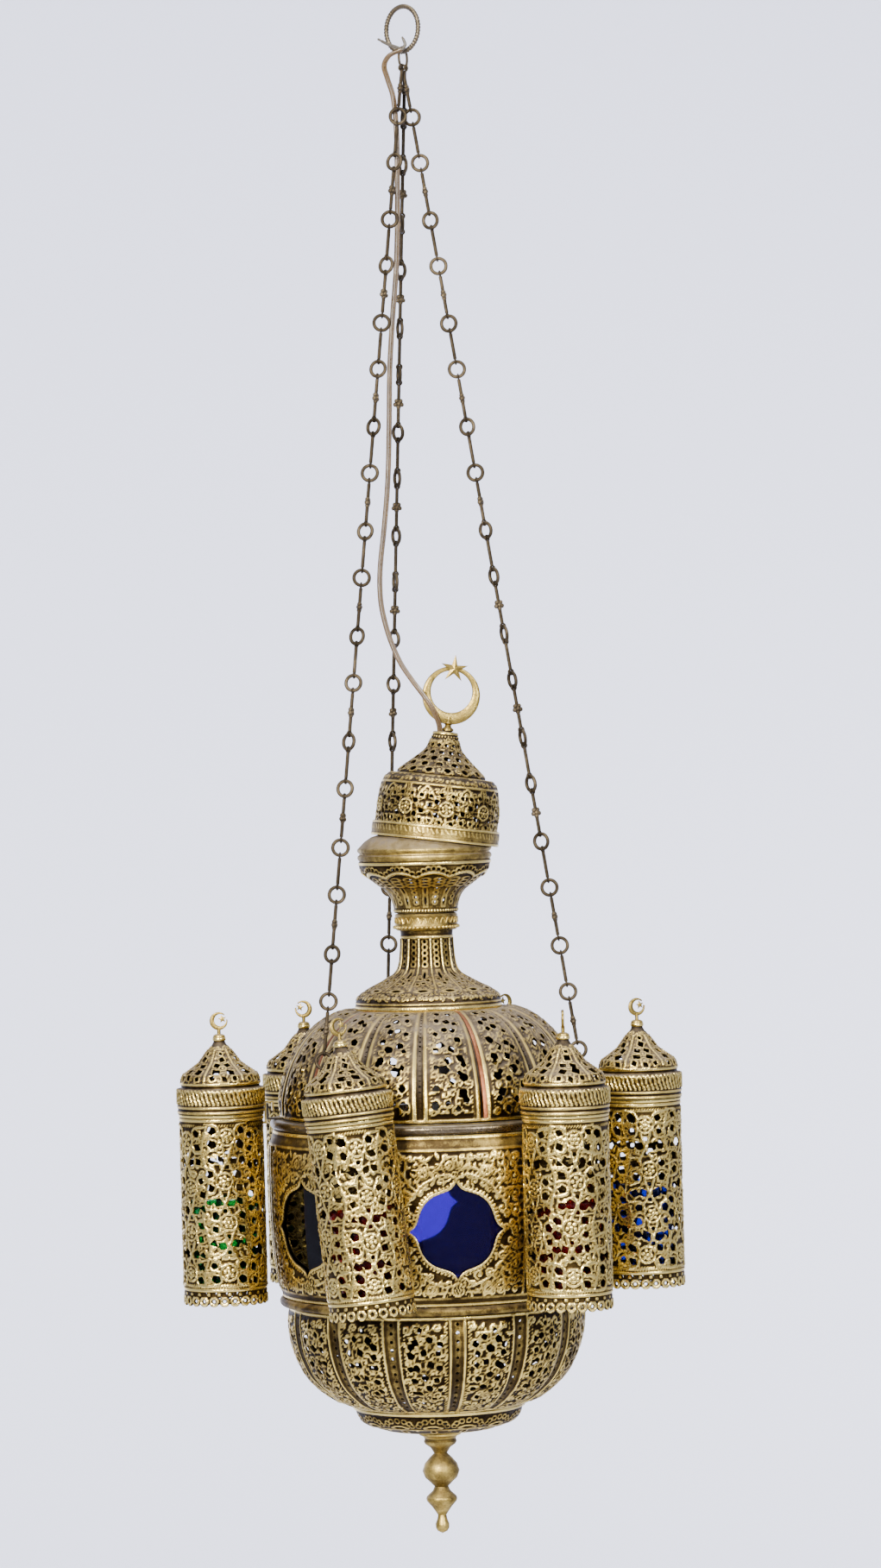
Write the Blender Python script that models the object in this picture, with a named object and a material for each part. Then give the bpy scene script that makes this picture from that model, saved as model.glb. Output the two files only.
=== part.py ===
"""Hanging lantern: a pierced brass globe on three chains, with six small lanterns round it.

Dimensions are in millimetres and angles in degrees; the finished meshes are in metres.
The origin is the bearing point inside the top of the hanging ring and +Z is up.
Directions round the axis are counted from the front, -Y, and grow towards +X.
"""

import math

import bmesh
import bpy
from mathutils import Matrix, Vector

MM = 0.001

# Clearances and sheet
GAP = 0.3
SHEET = 1.2

# Hanging ring and the collector ring that the chains hang from
RING_RADIUS = 18.85
RING_WIRE = 2.15
RING_TURN = -53.0
COLLECTOR_RADIUS = 8.8
COLLECTOR_WIRE = 1.2
COLLECTOR_TURN = 60.0

# Chains: round links joined by bars, every second bar with a rosette
CHAIN_TURNS = {"right": 69.0, "back": 189.0, "left": 309.0}
CHAIN_EYE_STEPS = {"right": 0.0, "back": 3.2, "left": -3.2}
CHAIN_EYE_RADIUS = 2.9
CHAIN_EYE_WIRE = 0.7
LINKS_PER_CHAIN = 19
LINKS_IN_UPPER_STRETCH = 10
LINK_RADIUS = 6.4
LINK_WIRE = 1.05
BAR_HALF = 0.8
BAR_NECK = 1.5
FIRST_PITCH = 41.0
PLAIN_PITCH = 38.2
ROSETTE_PITCH = 48.0
ROSETTE_RADIUS = 3.6
ROSETTE_HALF = 1.1
HOOK_RADIUS = 127.5
HOOK_EYE_HEIGHT = -876.0
HOOK_EYE_RADIUS = 3.4
HOOK_EYE_WIRE = 1.0
HOOK_FOOT_HALF = 1.7
HOOK_SLACK = 0.2

# Cap, sitting askew on the cup
CAP_CENTRE = (8.9, 0.0, -694.2)
CAP_TILT = 7.4
COLLAR_RADIUS = 53.3
COLLAR_HEIGHT = 12.5
CAP_WALL_RADIUS = 50.6
CAP_HEIGHT = 91.0
CAP_TOP_RADIUS = 9.6
CORD_HOLE = (-5.2, -3.2)
CORD_HOLE_RADIUS = 2.7
CRESCENT_CENTRE = (1.5, 122.0)
CRESCENT_RADIUS = 24.3
CRESCENT_HOLE_RADIUS = 17.6
CRESCENT_HOLE_RISE = 3.2
CRESCENT_THICKNESS = 3.4
STAR_HEIGHT = 144.3
STAR_RADIUS = 12.0
STAR_HOLLOW = 3.6
STAR_THICKNESS = 2.4

# Cup, waist and neck
RIM_RADIUS = 55.8
SHOULDER_OPENING = 36.0
SHOULDER_TOP = -687.5
CUP_TOP = -710.3
WAIST_TOP = -753.8
WAIST_BOTTOM = -768.2
WAIST_RADIUS = 26.5
NECK_BOTTOM = -834.2

# Globe: dome, flange, drum with six windows, flange, bowl
DOME_TOP = -834.5
DOME_TOP_RADIUS = 60.0
DOME_FOOT = -921.3
DOME_FOOT_RADIUS = 125.2
FLANGE_TOP = -921.6
FLANGE_BOTTOM = -930.0
FLANGE_RADIUS = 134.6
DRUM_TOP = -930.3
DRUM_BOTTOM = -1069.7
LOWER_FLANGE_TOP = -1070.0
LOWER_FLANGE_BOTTOM = -1077.0
LOWER_FLANGE_RADIUS = 130.3
BOWL_TOP = -1077.3
BOWL_BOTTOM = -1185.2
BOSS_BOTTOM = -1192.3
WINDOW_COUNT = 6
WINDOW_HEIGHT = -1006.6
WINDOW_TIP = 39.6
WINDOW_WAIST = 31.8
WINDOW_LOBE = 34.0
PANE_THICKNESS = 2.5
PANE_OVERLAP = 5.0
PANE_HALF_ANGLE = 24.0

# Lamp inside the globe
HOLDER_TOP = -872.0
HOLDER_RADIUS = 16.5
BULB_RADIUS = 22.5
BULB_CENTRE = -943.5

# Pendant under the bowl
PENDANT_TOP = -1192.6

# Six satellite lanterns: direction, sideways lean, turn of the small crescent
SATELLITES = (
    (30.0, 0.0, 52.0),
    (90.0, 0.0, -75.0),
    (150.0, 0.0, 65.0),
    (210.0, 0.0, -50.0),
    (270.0, 0.0, 82.0),
    (330.0, -5.9, 50.0),
)
SATELLITE_DISTANCE = 176.0
PIVOT_DISTANCE = 137.5
PIVOT_HEIGHT = -907.0
TUBE_RADIUS = 34.0
TUBE_TOP = -902.0
MOULDING_TOP = -914.3
MOULDING_BOTTOM = -920.2
MOULDING_RADIUS = 35.8
TUBE_BOTTOM = -1072.3
TUBE_FLOOR = -1057.0
TUBE_FLOOR_HOLE = 10.0
LID_RADIUS = 35.6
LID_FOOT = -914.0
LID_LEDGE = -893.4
LID_TOP = -849.0
CUP_GLASS_RADIUS = 28.0
CUP_GLASS_TOP = -985.0
CUP_GLASS_WALL = 2.5
SMALL_CRESCENT_RADIUS = 7.5
SMALL_CRESCENT_HEIGHT = -838.4
CLIP_HALF_WIDTH = 4.5
CLIP_INNER_END = 126.4
CLIP_LIP_TOP = -908.0
TAB_HALF_WIDTH = 3.5
TAB_TOP = -905.9
TAB_INNER = 132.4
TAB_RISER = 138.6
TAB_ARM_TOP = -923.2
TAB_PRONG_DROP = 8.0
STRIP = 1.3

# Mesh density
GLOBE_SEGMENTS = 30
CUP_SEGMENTS = 24
NECK_SEGMENTS = 20
SATELLITE_SEGMENTS = 14
LOOP_SIDES = 6

# The free cord: its centre line from the cap's top up to its bare ends
CORD_RADIUS = 2.2
CORD_POINTS = 42
CORD_ROUTE = (
    (15.5, -3.2, -603.7),
    (14.4, -4.3, -596.0),
    (9.6, -6.5, -584.5),
    (1.3, -7.4, -572.0),
    (-7.0, -7.0, -560.5),
    (-16.7, -6.0, -545.0),
    (-24.4, -5.0, -526.0),
    (-29.6, -4.5, -506.0),
    (-31.8, -4.0, -488.0),
    (-31.0, -3.0, -465.0),
    (-26.4, -2.0, -430.0),
    (-22.4, -1.0, -393.0),
    (-20.0, 0.0, -350.0),
    (-18.2, 0.0, -302.0),
    (-14.6, 0.5, -258.0),
    (-10.4, 1.0, -218.0),
    (-8.2, 1.0, -178.0),
    (-7.2, 1.0, -136.0),
    (-7.0, 1.0, -100.0),
    (-9.0, 0.2, -74.0),
    (-13.6, -2.0, -58.5),
    (-16.6, -5.0, -48.0),
    (-12.6, -8.5, -40.0),
    (-2.4, -11.8, -35.5),
)
INNER_CORD_POINTS = 24
INNER_CORD_ROUTE = (
    (15.4, -3.2, -604.1),
    (13.5, -3.1, -630.0),
    (5.0, -2.0, -680.0),
    (0.5, 0.0, -740.0),
    (1.5, 1.0, -800.0),
    (0.0, 0.0, -850.0),
    (0.0, 0.0, -871.7),
)

BRASS = ((0.42, 0.31, 0.14), 0.42, 1.0)
BRIGHT_BRASS = ((0.66, 0.5, 0.2), 0.3, 1.0)
CHAIN_BRASS = ((0.24, 0.2, 0.14), 0.45, 1.0)
CORD_FINISH = ((0.45, 0.28, 0.16), 0.35, 0.0)
HOLDER_FINISH = ((0.05, 0.045, 0.04), 0.5, 0.0)
BULB_FINISH = ((0.9, 0.88, 0.82), 0.1, 0.0)
WINDOW_GLASS = {
    1: ((0.05, 0.06, 0.5), 0.08, 0.0),
    2: ((0.4, 0.03, 0.03), 0.08, 0.0),
    3: ((0.04, 0.3, 0.1), 0.08, 0.0),
    4: ((0.35, 0.45, 0.6), 0.08, 0.0),
    5: ((0.5, 0.25, 0.04), 0.08, 0.0),
    6: ((0.05, 0.02, 0.12), 0.08, 0.0),
}
CUP_GLASS = {
    1: ((0.45, 0.03, 0.03), 0.08, 0.0),
    2: ((0.05, 0.08, 0.45), 0.08, 0.0),
    3: ((0.05, 0.3, 0.12), 0.08, 0.0),
    4: ((0.5, 0.25, 0.04), 0.08, 0.0),
    5: ((0.04, 0.3, 0.14), 0.08, 0.0),
    6: ((0.45, 0.08, 0.03), 0.08, 0.0),
}


def clear_scene():
    for item in list(bpy.data.objects):
        bpy.data.objects.remove(item)


def around(radius, turn, height):
    """Point at a radius and a direction from the front."""
    angle = math.radians(turn)
    return Vector((radius * math.sin(angle), -radius * math.cos(angle), height))


def finish(name, look):
    colour, roughness, metallic = look
    material = bpy.data.materials.new(name + "_finish")
    material.use_nodes = True
    shader = material.node_tree.nodes["Principled BSDF"]
    shader.inputs["Base Color"].default_value = (*colour, 1.0)
    shader.inputs["Roughness"].default_value = roughness
    shader.inputs["Metallic"].default_value = metallic
    return material


def add(name, mesh_builder, look, place=None, parent=None):
    """Turns a bmesh in millimetres into a named object in metres."""
    bmesh.ops.recalc_face_normals(mesh_builder, faces=mesh_builder.faces)
    bmesh.ops.scale(mesh_builder, vec=(MM, MM, MM), verts=mesh_builder.verts)
    mesh = bpy.data.meshes.new(name)
    mesh_builder.to_mesh(mesh)
    mesh_builder.free()
    mesh.shade_smooth()
    mesh.set_sharp_from_angle(angle=math.radians(40))
    item = bpy.data.objects.new(name, mesh)
    item.data.materials.append(finish(name, look))
    bpy.context.scene.collection.objects.link(item)
    if parent is not None:
        item.parent = parent
    if place is not None:
        item.matrix_basis = place
    return item


def empty(name, matrix):
    item = bpy.data.objects.new(name, None)
    item.matrix_basis = matrix
    bpy.context.scene.collection.objects.link(item)
    return item


def placed(location, turn=(0.0, 0.0, 0.0)):
    """Matrix from a place in millimetres and X, Y, Z turns in degrees, with Z turned last."""
    move = Matrix.Translation(Vector(location) * MM)
    spin_x = Matrix.Rotation(math.radians(turn[0]), 4, "X")
    spin_y = Matrix.Rotation(math.radians(turn[1]), 4, "Y")
    spin_z = Matrix.Rotation(math.radians(turn[2]), 4, "Z")
    return move @ spin_z @ spin_y @ spin_x


def combine(target, tool_builder, operation, place=None):
    """Cuts or joins a shape with the target, and keeps only the result."""
    tool = add("tool", tool_builder, BRASS, place)
    tool.hide_render = True
    tool.display_type = "WIRE"
    change = target.modifiers.new(operation.lower(), "BOOLEAN")
    change.operation = operation
    change.solver = "EXACT"
    change.object = tool
    bpy.context.view_layer.update()
    graph = bpy.context.evaluated_depsgraph_get()
    result = bpy.data.meshes.new_from_object(target.evaluated_get(graph))
    target.modifiers.clear()
    target.data = result
    bpy.data.objects.remove(tool)


def smooth_line(points, count):
    """Catmull-Rom curve through the points, at evenly spread parameters."""
    knots = [Vector(point) for point in points]
    knots = [2 * knots[0] - knots[1], *knots, 2 * knots[-1] - knots[-2]]
    stretches = len(points) - 1
    line = []
    for step in range(count):
        spot = step / (count - 1) * stretches
        first = min(int(spot), stretches - 1)
        t = spot - first
        a, b, c, d = knots[first : first + 4]
        bend = (2 * a - 5 * b + 4 * c - d) * t**2
        twist = (3 * b - a - 3 * c + d) * t**3
        line.append((2 * b + (c - a) * t + bend + twist) / 2)
    return line


def outline(points, count):
    return [tuple(point[:2]) for point in smooth_line([(r, z, 0.0) for r, z in points], count)]


def shell(outer, thickness=SHEET):
    """Closed section of a sheet whose outer side runs from top to bottom."""
    inner = []
    for index, (radius, height) in enumerate(outer):
        before = outer[max(index - 1, 0)]
        after = outer[min(index + 1, len(outer) - 1)]
        run = Vector((after[0] - before[0], after[1] - before[1])).normalized()
        inner.append((radius + run[1] * thickness, height - run[0] * thickness))
    return [*outer, *reversed(inner)]


def revolve(section, segments, start=0.0, sweep=360.0):
    """Turns a closed section of (radius, height) points about the axis."""
    builder = bmesh.new()
    full = sweep >= 360.0
    columns = []
    centre = {}
    for index in range(segments if full else segments + 1):
        turn = start + sweep * index / segments
        column = []
        for number, (radius, height) in enumerate(section):
            if radius > 0:
                column.append(builder.verts.new(around(radius, turn, height)))
                continue
            if number not in centre:
                centre[number] = builder.verts.new((0.0, 0.0, height))
            column.append(centre[number])
        columns.append(column)
    for index in range(segments):
        here, there = columns[index], columns[(index + 1) % len(columns)]
        for low in range(len(section)):
            high = (low + 1) % len(section)
            corners = [here[low], there[low], there[high], here[high]]
            corners = list(dict.fromkeys(corners))
            if len(corners) > 2:
                builder.faces.new(corners)
    if not full:
        builder.faces.new(columns[0])
        builder.faces.new(columns[-1])
    return builder


def hoop(radius, wire, segments, sides):
    """Ring of round wire about the Z axis."""
    section = []
    for side in range(sides):
        angle = math.tau * side / sides
        section.append((radius + wire * math.cos(angle), wire * math.sin(angle)))
    return revolve(section, segments)


def prism(shape, depth):
    """Solid from an outline of (x, z) points, half its depth each way along Y."""
    builder = bmesh.new()
    front = [builder.verts.new((x, -depth / 2, z)) for x, z in shape]
    back = [builder.verts.new((x, depth / 2, z)) for x, z in shape]
    builder.faces.new(front)
    builder.faces.new(back)
    for index in range(len(shape)):
        after = (index + 1) % len(shape)
        builder.faces.new((front[index], front[after], back[after], back[index]))
    return builder


def tube(name, route, count, look):
    """Round cord along a smooth line."""
    curve = bpy.data.curves.new(name, "CURVE")
    curve.dimensions = "3D"
    curve.bevel_depth = CORD_RADIUS * MM
    curve.bevel_resolution = 2
    curve.use_fill_caps = True
    spline = curve.splines.new("POLY")
    line = smooth_line(route, count)
    spline.points.add(len(line) - 1)
    for point, spot in zip(spline.points, line):
        point.co = (*(spot * MM), 1.0)
    item = bpy.data.objects.new(name, curve)
    curve.materials.append(finish(name, look))
    bpy.context.scene.collection.objects.link(item)
    return item


class LinkBuilder:
    """Fused run of loops and bars: every outer face that a bar meets becomes the bar's end."""

    def __init__(self):
        self.builder = bmesh.new()
        self.open_end = None

    def square(self, centre, side, face, half_side, half_face):
        corners = ((1, 1), (-1, 1), (-1, -1), (1, -1))
        square = []
        for a, b in corners:
            square.append(self.builder.verts.new(centre + side * half_side * a + face * half_face * b))
        return square

    def bridge(self, upper, lower):
        """Joins two squares along the nearest pairing of their corners."""

        def spread(shift):
            return sum((upper[i].co - lower[(i + shift) % 4].co).length for i in range(4))

        best = min(range(4), key=spread)
        for index in range(4):
            after = (index + 1) % 4
            self.builder.faces.new(
                (upper[index], upper[after], lower[(after + best) % 4], lower[(index + best) % 4])
            )

    def close(self, corners):
        self.builder.faces.new(corners)

    def loop(self, centre, down, side, radius, wire, last=False, first=False):
        """Loop of square wire round its centre, in the plane of down and side."""
        face = down.cross(side)
        stations = []
        for index in range(LOOP_SIDES):
            angle = math.tau * (index + 0.5) / LOOP_SIDES
            spoke = down * math.cos(angle) + side * math.sin(angle)
            corner = []
            for reach in (radius + wire, radius - wire):
                for half in (wire, -wire):
                    corner.append(self.builder.verts.new(centre + spoke * reach + face * half))
            stations.append(corner)
        half_way = LOOP_SIDES // 2 - 1
        for index in range(LOOP_SIDES):
            here, there = stations[index], stations[(index + 1) % LOOP_SIDES]
            is_top = index == half_way
            is_bottom = index == LOOP_SIDES - 1
            if not (is_top and not first) and not (is_bottom and not last):
                self.builder.faces.new((here[0], there[0], there[1], here[1]))
            self.builder.faces.new((here[2], here[3], there[3], there[2]))
            self.builder.faces.new((here[0], here[2], there[2], there[0]))
            self.builder.faces.new((here[1], there[1], there[3], here[3]))
        upper, under = stations[half_way], stations[half_way + 1]
        top = [upper[0], under[0], under[1], upper[1]]
        bottom = [stations[0][0], stations[-1][0], stations[-1][1], stations[0][1]]
        if self.open_end is not None and not first:
            self.bridge(self.open_end, top)
        self.open_end = None if last else bottom

    def bar(self, start, end, side, face, rosette):
        """Bar between two points, with a flower-shaped swelling half-way on a rosette bar."""
        stations = [(0.0, BAR_HALF, BAR_HALF)]
        if rosette:
            reach = (end - start).length
            edge = ROSETTE_RADIUS / reach
            stations += [
                (0.5 - edge, BAR_HALF, BAR_HALF),
                (0.5 - 0.5 * edge, ROSETTE_RADIUS * 0.9, ROSETTE_HALF),
                (0.5 + 0.5 * edge, ROSETTE_RADIUS * 0.9, ROSETTE_HALF),
                (0.5 + edge, BAR_HALF, BAR_HALF),
            ]
        stations.append((1.0, BAR_HALF, BAR_HALF))
        for share, half_side, half_face in stations:
            corners = self.square(start.lerp(end, share), side, face, half_side, half_face)
            if self.open_end is None:
                self.close(corners)
            else:
                self.bridge(self.open_end, corners)
            self.open_end = corners

    def foot(self, top, half):
        """Square foot that stands on a flat face below its top."""
        for centre in (top, top - Vector((0.0, 0.0, half))):
            corners = self.square(centre, Vector((1, 0, 0)), Vector((0, -1, 0)), half, half)
            self.bridge(self.open_end, corners)
            self.open_end = corners
        self.close(self.open_end)


def link_outer(radius, wire):
    """Distance from a loop's centre to the flat of its outer side."""
    return (radius + wire) * math.cos(math.pi / LOOP_SIDES)


def hanging_ring():
    height = -(RING_RADIUS - RING_WIRE)
    add(
        "hanging_ring",
        hoop(RING_RADIUS, RING_WIRE, 20, 6),
        BRASS,
        placed((0, 0, height), (90, 0, RING_TURN)),
    )


def collector_height():
    """The collector hangs with its top wire on the hanging ring's bottom wire."""
    ring_bottom = -2 * (RING_RADIUS - RING_WIRE)
    return ring_bottom + GAP + COLLECTOR_WIRE - COLLECTOR_RADIUS


def collector_ring():
    add(
        "collector_ring",
        hoop(COLLECTOR_RADIUS, COLLECTOR_WIRE, 16, 6),
        CHAIN_BRASS,
        placed((0, 0, collector_height()), (90, 0, COLLECTOR_TURN)),
    )


def chain(side):
    """One chain in two stretches, from its eye on the collector to the hook's eye."""
    along = Vector((math.cos(math.radians(COLLECTOR_TURN)), math.sin(math.radians(COLLECTOR_TURN)), 0.0))
    step = CHAIN_EYE_STEPS[side]
    drop = math.sqrt(COLLECTOR_RADIUS**2 - step**2)
    start = along * step + Vector((0, 0, collector_height() - drop))
    hook_eye = around(HOOK_RADIUS, CHAIN_TURNS[side], HOOK_EYE_HEIGHT)
    flat = math.cos(math.pi / LOOP_SIDES)
    eye_room = (HOOK_EYE_RADIUS - HOOK_EYE_WIRE) * flat - GAP
    wire_top = LINK_RADIUS - (LINK_RADIUS - LINK_WIRE) * flat
    end = hook_eye + Vector((0, 0, eye_room - wire_top - HOOK_SLACK))
    down = (end - start).normalized()
    link_side = Vector((1, 0, 0))
    link_side = (link_side - down * link_side.dot(down)).normalized()
    link_face = down.cross(link_side)
    pitches = [FIRST_PITCH]
    for number in range(LINKS_PER_CHAIN - 1):
        pitches.append(ROSETTE_PITCH if number % 2 else PLAIN_PITCH)
    stretch = ((end - start).length - LINK_RADIUS) / sum(pitches)
    reach = link_outer(LINK_RADIUS, LINK_WIRE)

    links = LinkBuilder()
    eye_down = Vector((0, 0, -1))
    eye_side = along.cross(eye_down)
    eye = start + Vector((0, 0, -0.12))
    links.loop(eye, eye_down, eye_side, CHAIN_EYE_RADIUS, CHAIN_EYE_WIRE, first=True)
    above = eye + eye_down * link_outer(CHAIN_EYE_RADIUS, CHAIN_EYE_WIRE)
    travelled = 0.0
    for number, pitch in enumerate(pitches, start=1):
        travelled += pitch * stretch
        centre = start + down * travelled
        neck = above + down * BAR_NECK
        links.bar(neck, centre - down * (reach + BAR_NECK), link_side, link_face, pitch != PLAIN_PITCH)
        is_last = number in (LINKS_IN_UPPER_STRETCH, LINKS_PER_CHAIN)
        links.loop(centre, down, link_side, LINK_RADIUS, LINK_WIRE, last=is_last)
        above = centre + down * reach
        if number == LINKS_IN_UPPER_STRETCH:
            add(f"chain_{side}_upper", links.builder, CHAIN_BRASS)
            links = LinkBuilder()
            above += down * (GAP - BAR_NECK)
    add(f"chain_{side}_lower", links.builder, CHAIN_BRASS)


def chain_hook(side):
    """Eye on a stem that stands on the upper flange at the foot of the dome."""
    eye = around(HOOK_RADIUS, CHAIN_TURNS[side], HOOK_EYE_HEIGHT)
    down = Vector((0, 0, -1))
    hook = LinkBuilder()
    hook.loop(eye, down, Vector((0, 1, 0)), HOOK_EYE_RADIUS, HOOK_EYE_WIRE, first=True)
    stem_top = eye + down * (link_outer(HOOK_EYE_RADIUS, HOOK_EYE_WIRE) + 1.0)
    foot_top = around(HOOK_RADIUS, CHAIN_TURNS[side], FLANGE_TOP + GAP + HOOK_FOOT_HALF)
    hook.bar(stem_top, foot_top + Vector((0, 0, 1.5)), Vector((1, 0, 0)), Vector((0, -1, 0)), False)
    hook.foot(foot_top, HOOK_FOOT_HALF)
    add(f"chain_hook_{side}", hook.builder, CHAIN_BRASS)


def crescent_shape(radius, hole_radius, rise, gap_angle, steps):
    """Outline of a crescent whose horns end gap_angle from the top."""
    outer = []
    inner = []
    for step in range(steps + 1):
        turn = math.radians(gap_angle + (360 - 2 * gap_angle) * step / steps)
        outer.append((radius * math.sin(turn), radius * math.cos(turn)))
        inner.append((hole_radius * math.sin(turn), rise + hole_radius * math.cos(turn)))
    return [*outer, *reversed(inner)]


def cap():
    """Loose cap: pierced shell, collar, crescent and star, all in the cap's own tilted frame."""
    seat = empty("cap_seat", placed(CAP_CENTRE, (0, CAP_TILT, 0)))
    wall = [
        (CAP_TOP_RADIUS, CAP_HEIGHT),
        (12.2, 83.0),
        (15.4, 75.5),
        (23.0, 68.0),
        (35.5, 57.0),
        (37.5, 53.8),
        (44.0, 52.6),
        (48.0, 46.0),
        (50.2, 30.0),
        (CAP_WALL_RADIUS, 2.5),
    ]
    lining = [(radius - SHEET, height - 0.6 * SHEET) for radius, height in wall[:-1]]
    lining.append((CAP_WALL_RADIUS - SHEET, wall[-1][1]))
    section = [(0.0, CAP_HEIGHT), *wall, *reversed(lining), (0.0, CAP_HEIGHT - 0.6 * SHEET)]
    cap_shell = add("cap_shell", revolve(section, CUP_SEGMENTS), BRASS, parent=seat)
    hole = bmesh.new()
    bmesh.ops.create_cone(
        hole, cap_ends=True, segments=10, radius1=CORD_HOLE_RADIUS, radius2=CORD_HOLE_RADIUS, depth=12.0
    )
    bpy.context.view_layer.update()
    combine(cap_shell, hole, "DIFFERENCE", cap_shell.matrix_world @ placed((*CORD_HOLE, CAP_HEIGHT)))

    inner = CAP_WALL_RADIUS + GAP + 0.3
    collar_section = [
        (COLLAR_RADIUS - 0.6, COLLAR_HEIGHT),
        (COLLAR_RADIUS, COLLAR_HEIGHT - 1.0),
        (COLLAR_RADIUS, 0.0),
        (inner, 0.0),
        (inner, COLLAR_HEIGHT),
    ]
    add("cap_collar", revolve(collar_section, CUP_SEGMENTS), BRASS, parent=seat)
    crescent(seat)


def crescent(seat):
    """Crescent on a turned stem, with a star in front of the horns."""
    middle_x, middle_z = CRESCENT_CENTRE
    base = CAP_HEIGHT + GAP
    stem = [
        (0.0, base),
        (4.2, base),
        (4.2, base + 1.6),
        (2.4, base + 3.2),
        (5.0, base + 6.0),
        (5.0, base + 10.0),
        (2.0, base + 13.0),
        (0.0, base + 13.0),
    ]
    finial = add("crescent_finial", revolve(stem, 12), BRIGHT_BRASS, parent=seat)
    shape = crescent_shape(CRESCENT_RADIUS, CRESCENT_HOLE_RADIUS, CRESCENT_HOLE_RISE, 7.0, 20)
    bpy.context.view_layer.update()
    plate_place = finial.matrix_world @ placed((middle_x, 0, middle_z))
    combine(finial, prism(shape, CRESCENT_THICKNESS), "UNION", plate_place)

    points = []
    for tip in range(10):
        reach = STAR_HOLLOW if tip % 2 else STAR_RADIUS
        angle = math.tau * tip / 10
        points.append((reach * math.sin(angle), reach * math.cos(angle)))
    in_front = -(CRESCENT_THICKNESS + STAR_THICKNESS) / 2 - GAP
    star_place = placed((middle_x, in_front, STAR_HEIGHT))
    add("finial_star", prism(points, STAR_THICKNESS), BRIGHT_BRASS, star_place, parent=seat)


def cup_and_neck():
    """Shoulder with two rolled rims, flaring cup, beaded waist and concave neck."""
    fall = 11.0
    dome = []
    for step in range(4):
        share = step / 4
        radius = SHOULDER_OPENING + share * (RIM_RADIUS - 1.2 - SHOULDER_OPENING)
        dome.append((radius, SHOULDER_TOP - fall * share**2))
    rims = [
        (54.4, -698.2),
        (RIM_RADIUS, -700.6),
        (54.2, -703.6),
        (RIM_RADIUS, -706.9),
        (54.6, CUP_TOP + GAP),
    ]
    back = [(53.2, CUP_TOP + GAP), (52.6, -699.2), (45.0, -693.0), (SHOULDER_OPENING, SHOULDER_TOP - 1.6)]
    add("cup_shoulder", revolve([*dome, *rims, *back], CUP_SEGMENTS), BRASS)

    cup_points = [(55.0, CUP_TOP), (53.0, -718.0), (44.6, -725.8), (32.2, -735.8), (27.6, -745.0)]
    cup_points.append((26.4, WAIST_TOP + GAP))
    add("cup", revolve(shell(outline(cup_points, 6)), CUP_SEGMENTS), BRASS)

    middle = (WAIST_TOP + WAIST_BOTTOM) / 2
    bead = [
        (23.8, WAIST_TOP),
        (WAIST_RADIUS, middle + 4.0),
        (WAIST_RADIUS, middle - 3.0),
        (23.0, WAIST_BOTTOM),
        (20.6, WAIST_BOTTOM),
        (20.6, WAIST_TOP),
    ]
    add("waist_bead", revolve(bead, NECK_SEGMENTS), BRASS)

    neck_points = [
        (22.0, WAIST_BOTTOM - GAP),
        (21.3, -780.0),
        (24.5, -800.6),
        (36.0, -809.6),
        (53.0, -818.6),
        (59.8, -824.5),
        (59.8, NECK_BOTTOM),
    ]
    add("neck", revolve(shell(outline(neck_points, 9)), NECK_SEGMENTS), BRASS)


def dome():
    rise = DOME_TOP - DOME_FOOT
    width = DOME_FOOT_RADIUS - DOME_TOP_RADIUS
    outer = []
    for step in range(7):
        angle = math.radians(90 * step / 6)
        outer.append((DOME_TOP_RADIUS + width * math.sin(angle), DOME_TOP - rise * (1 - math.cos(angle))))
    add("dome", revolve(shell(outer), GLOBE_SEGMENTS), BRASS)


def flange(name, top, bottom, inner, outer):
    """Ring with a half-round outer edge."""
    middle = (top + bottom) / 2
    flat = outer - (top - bottom) * 0.45
    section = [
        (inner, top),
        (flat, top),
        (outer - 0.8, middle + (top - bottom) * 0.3),
        (outer, middle),
        (outer - 0.8, middle - (top - bottom) * 0.3),
        (flat, bottom),
        (inner, bottom),
    ]
    add(name, revolve(section, GLOBE_SEGMENTS), BRASS)


def drum_outline(count):
    points = [
        (131.8, DRUM_TOP),
        (135.8, -946.0),
        (136.1, -975.0),
        (135.9, -1003.0),
        (134.0, -1031.0),
        (131.0, -1055.0),
        (126.7, DRUM_BOTTOM),
    ]
    return outline(points, count)


def window_shape(steps):
    """Quatrefoil with a pointed cusp up, down, left and right and a round lobe between each pair."""
    points = []
    for quarter in range(4):
        for step in range(steps):
            from_cusp = 90.0 * step / steps
            near = min(from_cusp, 90.0 - from_cusp)
            cusp = (WINDOW_TIP - WINDOW_WAIST) * math.exp(-near / 6.0)
            lobe = (WINDOW_LOBE - WINDOW_WAIST) * math.sin(math.radians(2 * near)) ** 2
            reach = WINDOW_WAIST + cusp + lobe
            angle = math.radians(90.0 * quarter + from_cusp)
            points.append((reach * math.sin(angle), reach * math.cos(angle)))
    return points


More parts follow.
